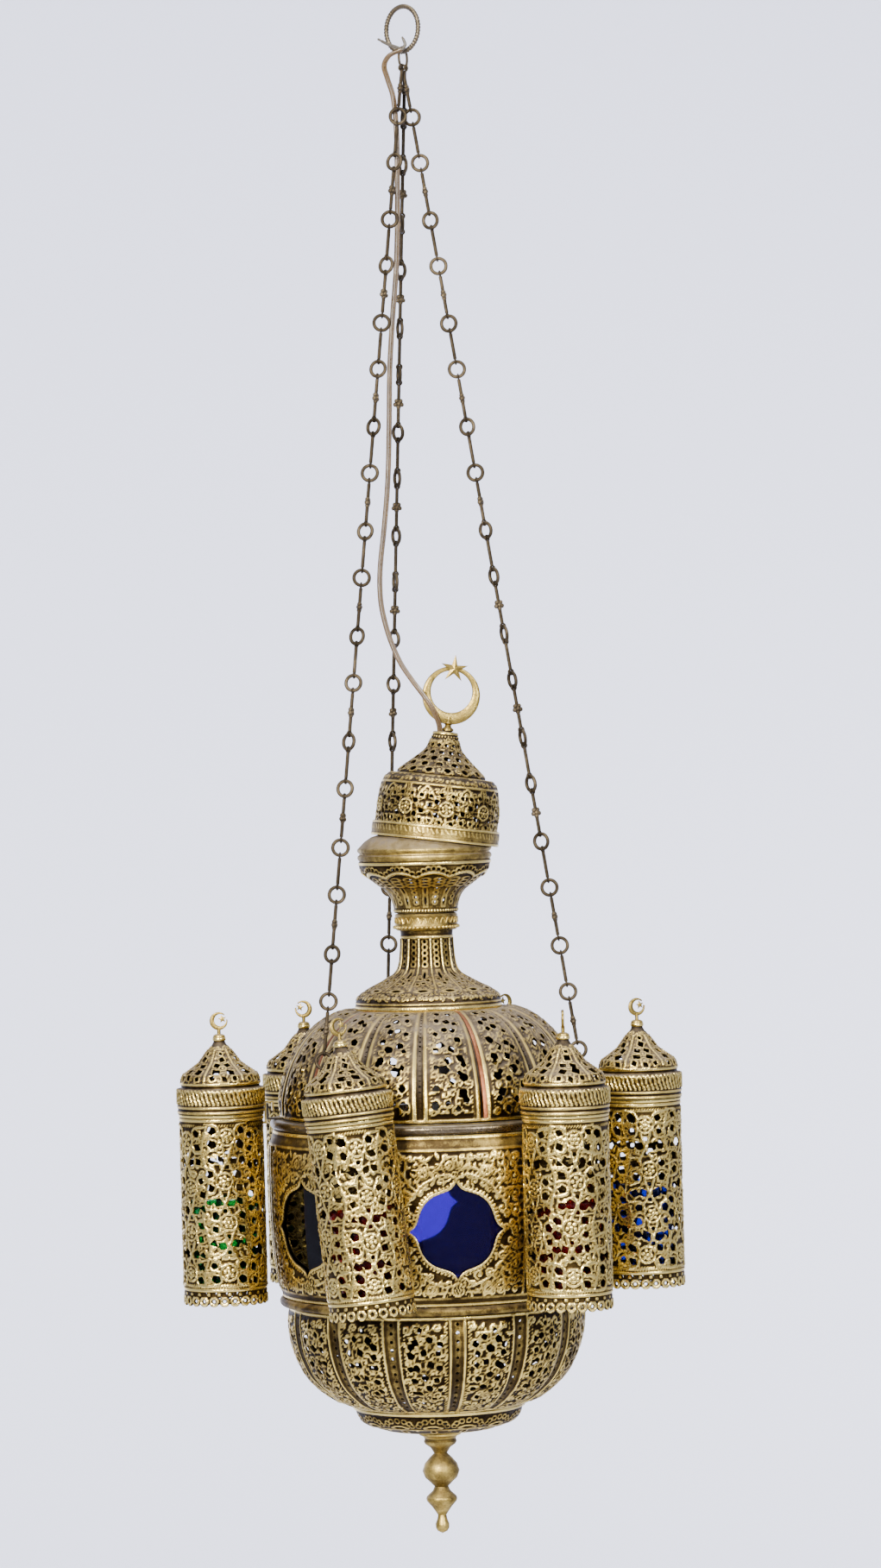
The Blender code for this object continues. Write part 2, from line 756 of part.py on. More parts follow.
def drum():
    """Drum wall with six windows, and the glass behind them."""
    wall = add("drum", revolve(shell(drum_outline(7)), GLOBE_SEGMENTS), BRASS)
    for number in range(WINDOW_COUNT):
        turn = 360.0 * number / WINDOW_COUNT
        centre = around(132.0, turn, WINDOW_HEIGHT)
        combine(wall, prism(window_shape(6), 24.0), "DIFFERENCE", placed(centre, (0, 0, turn)))

    reach = WINDOW_TIP + PANE_OVERLAP
    set_back = SHEET + 2 * GAP
    face = [
        (radius - set_back, height)
        for radius, height in drum_outline(13)
        if abs(height - WINDOW_HEIGHT) < reach + 6.0
    ]
    for number in range(WINDOW_COUNT):
        turn = 360.0 * number / WINDOW_COUNT
        pane = revolve(shell(face, PANE_THICKNESS), 4, turn - PANE_HALF_ANGLE, 2 * PANE_HALF_ANGLE)
        add(f"window_glass_{number + 1}", pane, WINDOW_GLASS[number + 1])


def bowl():
    """Bowl with a stepped foot, and the boss that carries the pendant."""
    side = [(121.9, BOWL_TOP), (121.6, -1090.0), (118.4, -1111.7), (108.0, -1134.7), (91.4, -1150.6)]
    side.append((72.0, -1162.0))
    foot = [(69.8, -1166.0), (64.8, -1175.0), (36.0, -1183.7), (12.0, BOWL_BOTTOM)]
    add("bowl", revolve(shell([*outline(side, 7), *foot]), GLOBE_SEGMENTS), BRASS)
    top = BOWL_BOTTOM - 1.6 - GAP
    boss = [(9.0, top), (17.6, top), (12.4, BOSS_BOTTOM), (9.0, BOSS_BOTTOM)]
    add("bowl_boss", revolve(boss, NECK_SEGMENTS), BRASS)


def pendant():
    """Turned finial: a disc, two knops and a ball, with hollow necks between them."""
    top = PENDANT_TOP
    section = [
        (0.0, top),
        (13.0, top),
        (13.8, top - 2.0),
        (12.8, top - 4.2),
        (5.5, top - 12.0),
        (13.5, top - 20.6),
        (15.5, top - 26.7),
        (13.5, top - 32.2),
        (5.8, top - 39.8),
        (12.4, top - 48.0),
        (12.4, top - 52.0),
        (3.6, top - 63.6),
        (5.8, top - 71.0),
        (4.2, top - 77.0),
        (0.0, top - 79.0),
    ]
    add("pendant_finial", revolve(section, 14), BRIGHT_BRASS)


def lamp():
    """Lamp holder hanging on its cord in the globe, and the bulb in it."""
    top = HOLDER_TOP
    holder = [
        (0.0, top),
        (5.0, top),
        (5.5, top - 6.0),
        (HOLDER_RADIUS, top - 11.0),
        (HOLDER_RADIUS, top - 40.0),
        (14.2, top - 40.0),
        (14.2, top - 20.0),
        (0.0, top - 20.0),
    ]
    add("lamp_holder", revolve(holder, 16), HOLDER_FINISH)
    bulb = [(0.0, top - 21.0), (13.0, top - 21.0), (13.0, top - 44.0)]
    for step in range(6):
        angle = math.radians(40 + 140 * step / 5)
        radius = BULB_RADIUS * math.sin(angle) if step < 5 else 0.0
        bulb.append((radius, BULB_CENTRE + BULB_RADIUS * math.cos(angle)))
    add("bulb", revolve(bulb, 16), BULB_FINISH)


def satellite_clip(number, turn):
    """Strip on the flange whose upturned lip carries the satellite's tab."""
    foot = FLANGE_TOP + GAP
    lip_outer = PIVOT_DISTANCE + STRIP / 2
    shape = [
        (lip_outer, foot),
        (CLIP_INNER_END, foot),
        (CLIP_INNER_END, foot + STRIP),
        (lip_outer - STRIP, foot + STRIP),
        (lip_outer - STRIP, CLIP_LIP_TOP),
        (lip_outer, CLIP_LIP_TOP),
    ]
    strip = radial_strip(shape, CLIP_HALF_WIDTH)
    add(f"satellite_{number}_clip", strip, BRASS, placed((0, 0, 0), (0, 0, turn)))


def radial_strip(shape, half_width):
    """Strip whose (outward, height) outline lies in the plane through the axis and the front."""
    builder = prism(shape, 2 * half_width)
    bmesh.ops.rotate(builder, verts=builder.verts, matrix=Matrix.Rotation(-math.pi / 2, 3, "Z"))
    return builder


def satellite(number, turn, lean, crescent_turn):
    """Pierced tube with its votive glass and lid, hanging from the clip on the flange."""
    pivot = around(PIVOT_DISTANCE, turn, PIVOT_HEIGHT)
    hanger = empty(f"satellite_{number}_pivot", placed(pivot, (0, lean, turn)))
    out = SATELLITE_DISTANCE - PIVOT_DISTANCE
    axis_place = placed((0, -out, -PIVOT_HEIGHT))

    wall = TUBE_RADIUS - SHEET
    section = [
        (TUBE_RADIUS - 0.5, TUBE_TOP),
        (TUBE_RADIUS - 0.5, MOULDING_TOP),
        (MOULDING_RADIUS, MOULDING_TOP - 0.6),
        (MOULDING_RADIUS, MOULDING_BOTTOM + 1.0),
        (TUBE_RADIUS, MOULDING_BOTTOM),
        (TUBE_RADIUS, TUBE_BOTTOM),
        (wall, TUBE_BOTTOM),
        (wall, TUBE_FLOOR - SHEET),
        (TUBE_FLOOR_HOLE, TUBE_FLOOR - SHEET),
        (TUBE_FLOOR_HOLE, TUBE_FLOOR),
        (wall, TUBE_FLOOR),
        (wall - 0.4, TUBE_TOP),
    ]
    body = add(
        f"satellite_{number}_tube", revolve(section, SATELLITE_SEGMENTS), BRASS, axis_place, parent=hanger
    )
    arm_outer = SATELLITE_DISTANCE - TUBE_RADIUS + 1.4
    tab = [
        (TAB_RISER, TAB_ARM_TOP - STRIP),
        (arm_outer, TAB_ARM_TOP - STRIP),
        (arm_outer, TAB_ARM_TOP),
        (TAB_RISER + STRIP, TAB_ARM_TOP),
        (TAB_RISER + STRIP, TAB_TOP),
        (TAB_INNER, TAB_TOP),
        (TAB_INNER, TAB_TOP - TAB_PRONG_DROP),
        (TAB_INNER + STRIP, TAB_TOP - TAB_PRONG_DROP),
        (TAB_INNER + STRIP, TAB_TOP - STRIP),
        (TAB_RISER, TAB_TOP - STRIP),
    ]
    bpy.context.view_layer.update()
    combine(
        body,
        radial_strip(tab, TAB_HALF_WIDTH),
        "UNION",
        hanger.matrix_world @ placed((0, PIVOT_DISTANCE, -PIVOT_HEIGHT)),
    )

    low = TUBE_FLOOR + GAP
    glass = [
        (0.0, low),
        (CUP_GLASS_RADIUS - 3.0, low),
        (CUP_GLASS_RADIUS, CUP_GLASS_TOP),
        (CUP_GLASS_RADIUS - CUP_GLASS_WALL, CUP_GLASS_TOP),
        (CUP_GLASS_RADIUS - 3.0 - CUP_GLASS_WALL, low + CUP_GLASS_WALL),
        (0.0, low + CUP_GLASS_WALL),
    ]
    add(f"satellite_{number}_glass", revolve(glass, 12), CUP_GLASS[number], axis_place, parent=hanger)

    lid = [
        (0.0, LID_TOP),
        (4.7, LID_TOP - 2.0),
        (4.7, LID_TOP - 6.5),
        (10.0, LID_TOP - 14.5),
        (17.0, LID_TOP - 24.0),
        (30.6, LID_TOP - 33.5),
        (32.8, LID_TOP - 39.0),
        (32.5, LID_LEDGE + 0.2),
        (LID_RADIUS, LID_LEDGE - 0.4),
        (LID_RADIUS, LID_FOOT),
        (LID_RADIUS - SHEET, LID_FOOT),
        (LID_RADIUS - SHEET, LID_LEDGE - 1.8),
        (30.5, LID_LEDGE - 1.4),
        (29.5, LID_TOP - 36.0),
        (15.0, LID_TOP - 25.6),
        (0.0, LID_TOP - 15.0),
    ]
    lid_body = add(
        f"satellite_{number}_lid", revolve(lid, SATELLITE_SEGMENTS), BRASS, axis_place, parent=hanger
    )
    shape = crescent_shape(SMALL_CRESCENT_RADIUS, 5.2, 0.9, 20.0, 10)
    bpy.context.view_layer.update()
    crescent_place = lid_body.matrix_world @ placed((0, 0, SMALL_CRESCENT_HEIGHT), (0, 0, crescent_turn))
    combine(lid_body, prism(shape, 2.0), "UNION", crescent_place)
    high, deep = LID_TOP + 5.4, LID_TOP - 4.0
    stem = revolve([(0.0, high), (1.6, high), (1.6, deep), (0.0, deep)], 6)
    combine(lid_body, stem, "UNION", lid_body.matrix_world)


def build():
    clear_scene()
    hanging_ring()
    collector_ring()
    for side in CHAIN_TURNS:
        chain(side)
        chain_hook(side)
    cap()
    cup_and_neck()
    dome()
    flange("upper_flange", FLANGE_TOP, FLANGE_BOTTOM, 122.0, FLANGE_RADIUS)
    drum()
    flange("lower_flange", LOWER_FLANGE_TOP, LOWER_FLANGE_BOTTOM, 117.0, LOWER_FLANGE_RADIUS)
    bowl()
    pendant()
    lamp()
    tube("cord", CORD_ROUTE, CORD_POINTS, CORD_FINISH)
    tube("cord_inner", INNER_CORD_ROUTE, INNER_CORD_POINTS, CORD_FINISH)
    for number, (turn, lean, crescent_turn) in enumerate(SATELLITES, start=1):
        satellite_clip(number, turn)
        satellite(number, turn, lean, crescent_turn)


build()
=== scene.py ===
import math

import bmesh
import bpy
import numpy as np
from mathutils import Matrix, Vector


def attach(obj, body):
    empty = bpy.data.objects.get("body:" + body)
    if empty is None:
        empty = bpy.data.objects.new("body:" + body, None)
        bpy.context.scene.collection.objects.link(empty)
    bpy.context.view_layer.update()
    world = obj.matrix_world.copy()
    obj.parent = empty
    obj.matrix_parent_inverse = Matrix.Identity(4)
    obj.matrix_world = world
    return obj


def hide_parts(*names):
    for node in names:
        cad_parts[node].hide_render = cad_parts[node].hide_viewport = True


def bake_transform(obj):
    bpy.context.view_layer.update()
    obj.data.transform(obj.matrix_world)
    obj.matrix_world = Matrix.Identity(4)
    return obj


# Looks of the hanging lantern: pierced and embossed brass, coloured glass, chains and a flat cord.
# Shapes are worked out in millimetres and angles in degrees; meshes are in metres.
# Directions round the axis are counted from the front, -Y, and grow towards +X.

MM = 0.001
SHEET = 1.2
SOFT_ANGLE = 50.0

# Camera and framing
IMAGE_HEIGHT_M = 1.308
CAMERA_TURN = -8.0
CAMERA_ROLL = 1.55
CAMERA_DISTANCE = 4.2
CAMERA_HEIGHT = -0.625
CAMERA_ACROSS = 0.0156
CAMERA_SHIFT = -0.0168
SENSOR = 36.0

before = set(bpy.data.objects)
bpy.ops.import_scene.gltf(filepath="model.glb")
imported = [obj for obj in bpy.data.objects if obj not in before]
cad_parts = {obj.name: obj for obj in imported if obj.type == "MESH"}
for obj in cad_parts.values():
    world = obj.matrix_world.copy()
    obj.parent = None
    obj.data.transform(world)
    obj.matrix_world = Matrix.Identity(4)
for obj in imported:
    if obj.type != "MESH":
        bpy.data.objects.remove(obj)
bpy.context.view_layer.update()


def around(radius, turn, height):
    """Point at a radius and a direction from the front."""
    angle = math.radians(turn)
    return Vector((radius * math.sin(angle), -radius * math.cos(angle), height))


def placed(location, turn=(0.0, 0.0, 0.0)):
    """Matrix from a place in millimetres and X, Y, Z turns in degrees, with Z turned last."""
    move = Matrix.Translation(Vector(location) * MM)
    spin_x = Matrix.Rotation(math.radians(turn[0]), 4, "X")
    spin_y = Matrix.Rotation(math.radians(turn[1]), 4, "Y")
    spin_z = Matrix.Rotation(math.radians(turn[2]), 4, "Z")
    return move @ spin_z @ spin_y @ spin_x


def smooth_line(points, count):
    """Catmull-Rom curve through the points, at evenly spread parameters."""
    knots = [Vector(point) for point in points]
    knots = [2 * knots[0] - knots[1], *knots, 2 * knots[-1] - knots[-2]]
    stretches = len(points) - 1
    line = []
    for step in range(count):
        spot = step / (count - 1) * stretches
        first = min(int(spot), stretches - 1)
        t = spot - first
        a, b, c, d = knots[first : first + 4]
        bend = (2 * a - 5 * b + 4 * c - d) * t**2
        twist = (3 * b - a - 3 * c + d) * t**3
        line.append((2 * b + (c - a) * t + bend + twist) / 2)
    return line


def outline(points, count):
    return [tuple(point[:2]) for point in smooth_line([(r, z, 0.0) for r, z in points], count)]


# ---------------------------------------------------------------- camera, stage and lights


def set_camera():
    turn = math.radians(CAMERA_TURN)
    roll = math.radians(CAMERA_ROLL)
    away = Vector((math.sin(turn), -math.cos(turn), 0.0))
    right = Vector((math.cos(turn), math.sin(turn), 0.0))
    up = Vector((0.0, 0.0, 1.0))
    across = right * math.cos(roll) - up * math.sin(roll)
    above = right * math.sin(roll) + up * math.cos(roll)
    place = right * CAMERA_ACROSS + away * CAMERA_DISTANCE + up * CAMERA_HEIGHT
    data = bpy.data.cameras.new("camera")
    data.sensor_width = SENSOR
    data.lens = SENSOR * CAMERA_DISTANCE / IMAGE_HEIGHT_M
    data.shift_y = CAMERA_SHIFT
    data.clip_start = 0.1
    data.clip_end = 60.0
    camera = bpy.data.objects.new("camera", data)
    axes = Matrix((across, above, away)).transposed().to_4x4()
    camera.matrix_world = Matrix.Translation(place) @ axes
    bpy.context.scene.collection.objects.link(camera)
    bpy.context.scene.camera = camera


def simple_material(name, colour, roughness, metallic=0.0):
    material = bpy.data.materials.new(name)
    material.use_nodes = True
    shader = material.node_tree.nodes["Principled BSDF"]
    shader.inputs["Base Color"].default_value = (*colour, 1.0)
    shader.inputs["Roughness"].default_value = roughness
    shader.inputs["Metallic"].default_value = metallic
    return material


def set_stage():
    """Pale floor that curves up into a backdrop all round."""
    builder = bmesh.new()
    floor, flat, curve_radius = -2.6, 5.4, 4.4
    rings = [(0.0, floor), (flat, floor)]
    for step in range(1, 13):
        angle = math.radians(90 * step / 12)
        rings.append((flat + curve_radius * math.sin(angle), floor + curve_radius * (1 - math.cos(angle))))
    rings.append((flat + curve_radius, 6.0))
    segments = 96
    centre = builder.verts.new((0.0, 0.0, floor))
    before = None
    for radius, height in rings[1:]:
        ring = [builder.verts.new(around(radius, 360 * i / segments, height)) for i in range(segments)]
        for i in range(segments):
            after = (i + 1) % segments
            if before is None:
                builder.faces.new((centre, ring[i], ring[after]))
            else:
                builder.faces.new((before[i], ring[i], ring[after], before[after]))
        before = ring
    mesh = bpy.data.meshes.new("studio_floor")
    builder.to_mesh(mesh)
    builder.free()
    mesh.shade_smooth()
    floor_piece = bpy.data.objects.new("studio_floor", mesh)
    bpy.context.scene.collection.objects.link(floor_piece)
    mesh.materials.append(simple_material("studio_paper", (0.77, 0.785, 0.92), 0.9))


def add_light(name, size, power, place, aim, colour=(1.0, 1.0, 1.0)):
    data = bpy.data.lights.new(name, "AREA")
    data.shape = "RECTANGLE"
    data.size, data.size_y = size
    data.energy = power
    data.color = colour
    light = bpy.data.objects.new(name, data)
    light.location = place
    light.rotation_mode = "QUATERNION"
    light.rotation_quaternion = (Vector(place) - Vector(aim)).to_track_quat("Z", "Y")
    light.visible_camera = False
    bpy.context.scene.collection.objects.link(light)


def set_lights():
    world = bpy.data.worlds.new("studio")
    bpy.context.scene.world = world
    world.use_nodes = True
    background = world.node_tree.nodes["Background"]
    background.inputs["Color"].default_value = (0.94, 0.95, 1.0, 1.0)
    background.inputs["Strength"].default_value = 0.32
    middle = (0.0, 0.0, -0.85)
    add_light("soft_left", (0.7, 1.4), 268.0, (-1.5, -3.1, 0.4), middle, (1.0, 0.94, 0.83))
    add_light("soft_right", (0.5, 1.3), 95.0, (1.4, -3.1, 0.1), middle, (1.0, 0.98, 0.95))
    add_light("soft_top", (1.3, 1.3), 75.0, (0.2, -0.5, 2.2), middle)
    add_light("backdrop_left", (1.2, 2.0), 360.0, (-2.6, 5.0, 0.6), (-0.8, 9.3, -0.2), (0.97, 0.98, 1.0))
    add_light("backdrop_right", (1.2, 2.0), 330.0, (2.6, 5.0, 0.6), (0.8, 9.3, -0.2), (0.97, 0.98, 1.0))


# ---------------------------------------------------------------- materials


class Nodes:
    """Short spellings for wiring up a node tree."""

    def __init__(self, name):
        self.material = bpy.data.materials.new(name)
        self.material.use_nodes = True
        self.tree = self.material.node_tree
        self.shader = self.tree.nodes["Principled BSDF"]

    def add(self, kind, **settings):
        node = self.tree.nodes.new(kind)
        for key, value in settings.items():
            setattr(node, key, value)
        return node

    def link(self, source, target):
        self.tree.links.new(source, target)

    def math(self, operation, first, second=None, clamp=False):
        node = self.add("ShaderNodeMath", operation=operation, use_clamp=clamp)
        for index, value in enumerate((first, second)):
            if value is None:
                continue
            if isinstance(value, (int, float)):
                node.inputs[index].default_value = value
            else:
                self.link(value, node.inputs[index])
        return node.outputs[0]

    def noise(self, coordinates, scale, detail=3.0, rough=0.55):
        node = self.add("ShaderNodeTexNoise")
        node.inputs["Scale"].default_value = scale
        node.inputs["Detail"].default_value = detail
        node.inputs["Roughness"].default_value = rough
        self.link(coordinates, node.inputs["Vector"])
        return node.outputs["Fac"]

    def ramp(self, factor, stops):
        node = self.add("ShaderNodeValToRGB")
        ramp = node.color_ramp
        while len(ramp.elements) < len(stops):
            ramp.elements.new(0.5)
        for element, (place, colour) in zip(ramp.elements, stops):
            element.position = place
            element.color = (*colour, 1.0) if len(colour) == 3 else colour
        self.link(factor, node.inputs["Fac"])
        return node.outputs["Color"]

    def mix(self, factor, first, second):
        node = self.add("ShaderNodeMix", data_type="RGBA")
        self.link(factor, node.inputs["Factor"])
        for socket, value in ((node.inputs["A"], first), (node.inputs["B"], second)):
            if isinstance(value, tuple):
                socket.default_value = (*value, 1.0)
            else:
                self.link(value, socket)
        return node.outputs["Result"]

    def span(self, value, low, high, to_low, to_high):
        node = self.add("ShaderNodeMapRange")
        self.link(value, node.inputs["Value"])
        for name, number in zip(("From Min", "From Max", "To Min", "To Max"), (low, high, to_low, to_high)):
            node.inputs[name].default_value = number
        return node.outputs["Result"]


# Colour ramps run from the hollows (0) to the crests (1): the near-black low end is painted shade together
# with patina, and the top is worn bare metal.
AGED = ((0.0, (0.014, 0.008, 0.003)), (0.28, (0.060, 0.038, 0.011)), (0.46, (0.29, 0.205, 0.052)),
        (0.68, (0.74, 0.54, 0.135)), (1.0, (1.0, 0.80, 0.25)))
DARK = ((0.0, (0.014, 0.010, 0.006)), (0.40, (0.055, 0.042, 0.026)), (0.60, (0.13, 0.10, 0.06)),
        (1.0, (0.40, 0.28, 0.13)))
BRIGHT = ((0.0, (0.03, 0.018, 0.006)), (0.4, (0.12, 0.080, 0.022)), (0.70, (0.33, 0.235, 0.058)),
          (1.0, (0.72, 0.54, 0.15)))
GREY_BRONZE = ((0.0, (0.030, 0.023, 0.014)), (0.45, (0.12, 0.095, 0.060)), (0.8, (0.27, 0.22, 0.14)),
               (1.0, (0.50, 0.40, 0.24)))
COPPER = ((0.0, (0.04, 0.015, 0.007)), (0.35, (0.14, 0.045, 0.020)), (0.65, (0.36, 0.125, 0.055)),
          (1.0, (0.62, 0.26, 0.12)))
DUST = (0.165, 0.130, 0.092)


def brass(name, stops=AGED, dust=0.7, shift=0.0, gloss=0.19, dull=0.52, tone=0.0):
    """Old brass: bare on the raised parts, brown patina and painted shade in the hollows, dusty where it
    faces up.
    """
    n = Nodes(name)
    place = n.add("ShaderNodeTexCoord").outputs["Object"]
    move = n.add("ShaderNodeMapping")
    move.inputs["Location"].default_value = (shift, shift * 1.7, shift * 0.6)
    n.link(place, move.inputs["Vector"])
    spot = move.outputs["Vector"]
    broad = n.noise(spot, 26.0, 4.0, 0.6)
    medium = n.noise(spot, 140.0, 3.0, 0.6)
    fine = n.noise(spot, 900.0, 2.0, 0.5)
    # This attribute is partly real wear and partly painted shade: its low values darken the hollows and the
    # inner faces.
    wear_and_shade = n.add("ShaderNodeAttribute", attribute_name="wear_and_shade").outputs["Fac"]
    worn_and_shaded = n.math("ADD", wear_and_shade, n.span(broad, 0.3, 0.7, -0.13 + tone, 0.13 + tone))
    worn_and_shaded = n.math("ADD", worn_and_shaded, n.span(medium, 0.3, 0.7, -0.10, 0.10))
    worn_and_shaded = n.math("ADD", worn_and_shaded, n.span(fine, 0.25, 0.75, -0.06, 0.06), clamp=True)
    colour = n.ramp(worn_and_shaded, stops)

    normal = n.add("ShaderNodeNewGeometry").outputs["Normal"]
    split = n.add("ShaderNodeSeparateXYZ")
    n.link(normal, split.inputs["Vector"])
    upward = n.span(split.outputs["Z"], 0.15, 0.85, 0.0, 1.0)
    settled = n.math("MULTIPLY", upward, n.span(medium, 0.30, 0.62, 0.45, 1.0))
    settled = n.math("MULTIPLY", settled, n.span(broad, 0.3, 0.6, 0.6, 1.15))
    settled = n.math("MULTIPLY", settled, dust, clamp=True)
    n.link(n.mix(settled, colour, DUST), n.shader.inputs["Base Color"])
    n.link(n.span(settled, 0.0, 1.0, 1.0, 0.15), n.shader.inputs["Metallic"])
    rough = n.math("ADD", n.span(worn_and_shaded, 0.25, 0.95, dull, gloss), n.span(fine, 0.3, 0.7, -0.06, 0.06))
    rough = n.math("ADD", rough, n.math("MULTIPLY", settled, 0.35), clamp=True)
    n.link(rough, n.shader.inputs["Roughness"])

    bump = n.add("ShaderNodeBump")
    bump.inputs["Strength"].default_value = 0.55
    bump.inputs["Distance"].default_value = 0.0005
    grain = n.math("ADD", n.math("MULTIPLY", medium, 1.2), n.math("MULTIPLY", fine, 0.7))
    n.link(grain, bump.inputs["Height"])
    n.link(bump.outputs["Normal"], n.shader.inputs["Normal"])
    return n.material


def glass(name, colour, roughness=0.06):
    """Coloured sheet glass with faint waviness."""
    n = Nodes(name)
    n.shader.inputs["Base Color"].default_value = (*colour, 1.0)
    n.shader.inputs["Roughness"].default_value = roughness
    n.shader.inputs["IOR"].default_value = 1.3
    n.shader.inputs["Transmission Weight"].default_value = 0.97
    n.shader.inputs["Specular IOR Level"].default_value = 0.3
    place = n.add("ShaderNodeTexCoord").outputs["Object"]
    ripple = n.noise(place, 45.0, 2.0, 0.4)
    bump = n.add("ShaderNodeBump")
    bump.inputs["Strength"].default_value = 0.25
    bump.inputs["Distance"].default_value = 0.0004
    n.link(ripple, bump.inputs["Height"])
    n.link(bump.outputs["Normal"], n.shader.inputs["Normal"])
    return n.material


# ---------------------------------------------------------------- pierced and embossed sheet


class Profile:
    """Outline of a turned sheet, read by its length from the top."""

    def __init__(self, points, smooth=True):
        if smooth:
            points = outline(points, 24 * len(points))
        line = np.array(points, float)
        steps = np.hypot(*np.diff(line, axis=0).T)
        self.s = np.concatenate([[0.0], np.cumsum(steps)])
        self.r, self.z = line.T
        self.length = float(self.s[-1])

    def at(self, s):
        """Radius, height and outward normal at lengths s."""
        step = 0.5
        low, high = np.clip(s - step, 0, self.length), np.clip(s + step, 0, self.length)
        run = np.interp(high, self.s, self.r) - np.interp(low, self.s, self.r)
        rise = np.interp(high, self.s, self.z) - np.interp(low, self.s, self.z)
        size = np.hypot(run, rise)
        return np.interp(s, self.s, self.r), np.interp(s, self.s, self.z), -rise / size, run / size

    def length_at(self, height):
        """Length from the top at which the outline first falls to a height."""
        return float(self.s[np.argmax(self.z <= height)])


class Skin:
    """Relief and piercing drawn on a turned sheet.

    Places are (x, s): x in millimetres round the widest part and s in millimetres down the outline.
    """

    def __init__(self, profile, column_step, row_step, centre=0.0, sweep=360.0, top=0.0, bottom=None):
        self.profile = profile
        bottom = profile.length if bottom is None else bottom
        row_count = int((bottom - top) / row_step) + 1
        self.rows = np.linspace(top, bottom, row_count)
        self.radius, self.height, self.out, self.up = profile.at(self.rows)
        self.reference = float(self.radius.max())
        self.squeeze = self.radius / self.reference
        self.full = sweep >= 360.0
        self.width = math.radians(sweep) * self.reference
        self.columns = int(self.width / column_step)
        self.step = self.width / self.columns
        self.left = math.radians(centre) * self.reference - self.width / 2
        count = self.columns if self.full else self.columns + 1
        self.relief = np.zeros((row_count, count))
        self.form = np.zeros((row_count, count))
        self.web = np.full((row_count, count), -9.0)
        self.zone = np.full((row_count, count), -9.0)
        self.cut = np.full((row_count, count), 9.0)
        self.x = self.left + self.step * np.arange(count)
        self.base = np.full((row_count, count), 0.37)
        self.grow = 0.0

    def patch(self, x_low, x_high, s_low, s_high, margin):
        """Grid points round a box: their indices, x, s and sideways squeeze."""
        first, last = np.searchsorted(self.rows, (s_low - margin, s_high + margin))
        if first >= last:
            return None
        squeeze = self.squeeze[first:last, None]
        reach = margin / max(float(squeeze.min()), 0.08)
        low = math.floor((x_low - reach - self.left) / self.step)
        high = math.ceil((x_high + reach - self.left) / self.step)
        high = min(high, low + self.columns)
        columns = np.arange(low, high + 1)
        x = self.left + self.step * columns
        if self.full:
            places = columns % self.columns
        else:
            keep = (columns >= 0) & (columns <= self.columns)
            places, x = columns[keep], x[keep]
        if len(places) == 0:
            return None
        return np.ix_(np.arange(first, last), places), x[None, :], self.rows[first:last, None], squeeze

    def spots(self, count, shift=0.5):
        """Evenly spaced x round or across the sheet, starting a share of one step in."""
        return [self.left + self.width * (index + shift) / count for index in range(count)]

    def squeeze_at(self, s0):
        """How much narrower the sheet is at s0 than at its widest."""
        return float(np.interp(s0, self.rows, self.squeeze))

    def swell(self, spots, distance, width, rise):
        height = rise * np.sqrt(np.clip(1.0 - (distance / width) ** 2, 0.0, 1.0))
        self.relief[spots] = np.maximum(self.relief[spots], height)

    def keep(self, spots, depth):
        self.web[spots] = np.maximum(self.web[spots], depth)

    def stroke(self, points, width, rise, web=None):
        """Rounded ridge along the points; web is the half width of metal left under it."""
        web = width if web is None else web
        for a, b in zip(points, points[1:]):
            found = self.patch(
                min(a[0], b[0]), max(a[0], b[0]), min(a[1], b[1]), max(a[1], b[1]), max(width, web) + 1
            )
            if found is None:
                continue
            spots, x, s, squeeze = found
            along_x, along_s = (b[0] - a[0]) * squeeze, b[1] - a[1]
            from_x, from_s = (x - a[0]) * squeeze, s - a[1]
            share = (from_x * along_x + from_s * along_s) / (along_x**2 + along_s**2 + 1e-9)
            share = np.clip(share, 0.0, 1.0)
            distance = np.hypot(from_x - share * along_x, from_s - share * along_s)
            self.swell(spots, distance, width, rise)
            self.keep(spots, web - distance)

    def keep_disc(self, x0, s0, radius):
        """Flat round of metal."""
        found = self.patch(x0, x0, s0, s0, radius + 1)
        if found is not None:
            spots, x, s, squeeze = found
            self.keep(spots, radius - np.hypot((x - x0) * squeeze, s - s0))

    def clear_disc(self, x0, s0, radius):
        """Smooth whole round of sheet, without the ornament that lay there."""
        found = self.patch(x0, x0, s0, s0, radius + 1)
        if found is not None:
            spots, x, s, squeeze = found
            inside = np.hypot((x - x0) * squeeze, s - s0) < radius
            self.relief[spots] = np.where(inside, 0.15, self.relief[spots])
            self.cut[spots] = np.where(inside, 9.0, self.cut[spots])

    def keep_box(self, x0, half, s_low, s_high):
        """Flat strip of metal down the sheet."""
        found = self.patch(x0 - half, x0 + half, s_low, s_high, 1.5)
        if found is not None:
            spots, x, s, squeeze = found
            sides = half - np.abs(x - x0) * squeeze
            self.keep(spots, np.minimum(sides, np.minimum(s - s_low, s_high - s)))

    def band_down(self, x0, half, s_low, s_high, rise):
        """Plain raised strip down the sheet, over whatever lies under it."""
        found = self.patch(x0 - half, x0 + half, s_low, s_high, 1.5)
        if found is not None:
            spots, x, s, squeeze = found
            sides = np.minimum(half - np.abs(x - x0) * squeeze, np.minimum(s - s_low, s_high - s))
            inside = sides > 0
            self.relief[spots] = np.where(inside, rise * np.clip(sides / 0.8, 0.4, 1.0), self.relief[spots])
            self.cut[spots] = np.where(inside, 9.0, self.cut[spots])

    def window_gap(self, centre):
        """Distance of each grid point outside the window's outline."""
        x = self.x[None, :] * self.squeeze[:, None]
        s = self.rows[:, None] - centre
        return np.hypot(x, s) - window_reach(np.arctan2(s, x))

    def cut_window(self, centre):
        self.cut = np.minimum(self.cut, self.window_gap(centre))

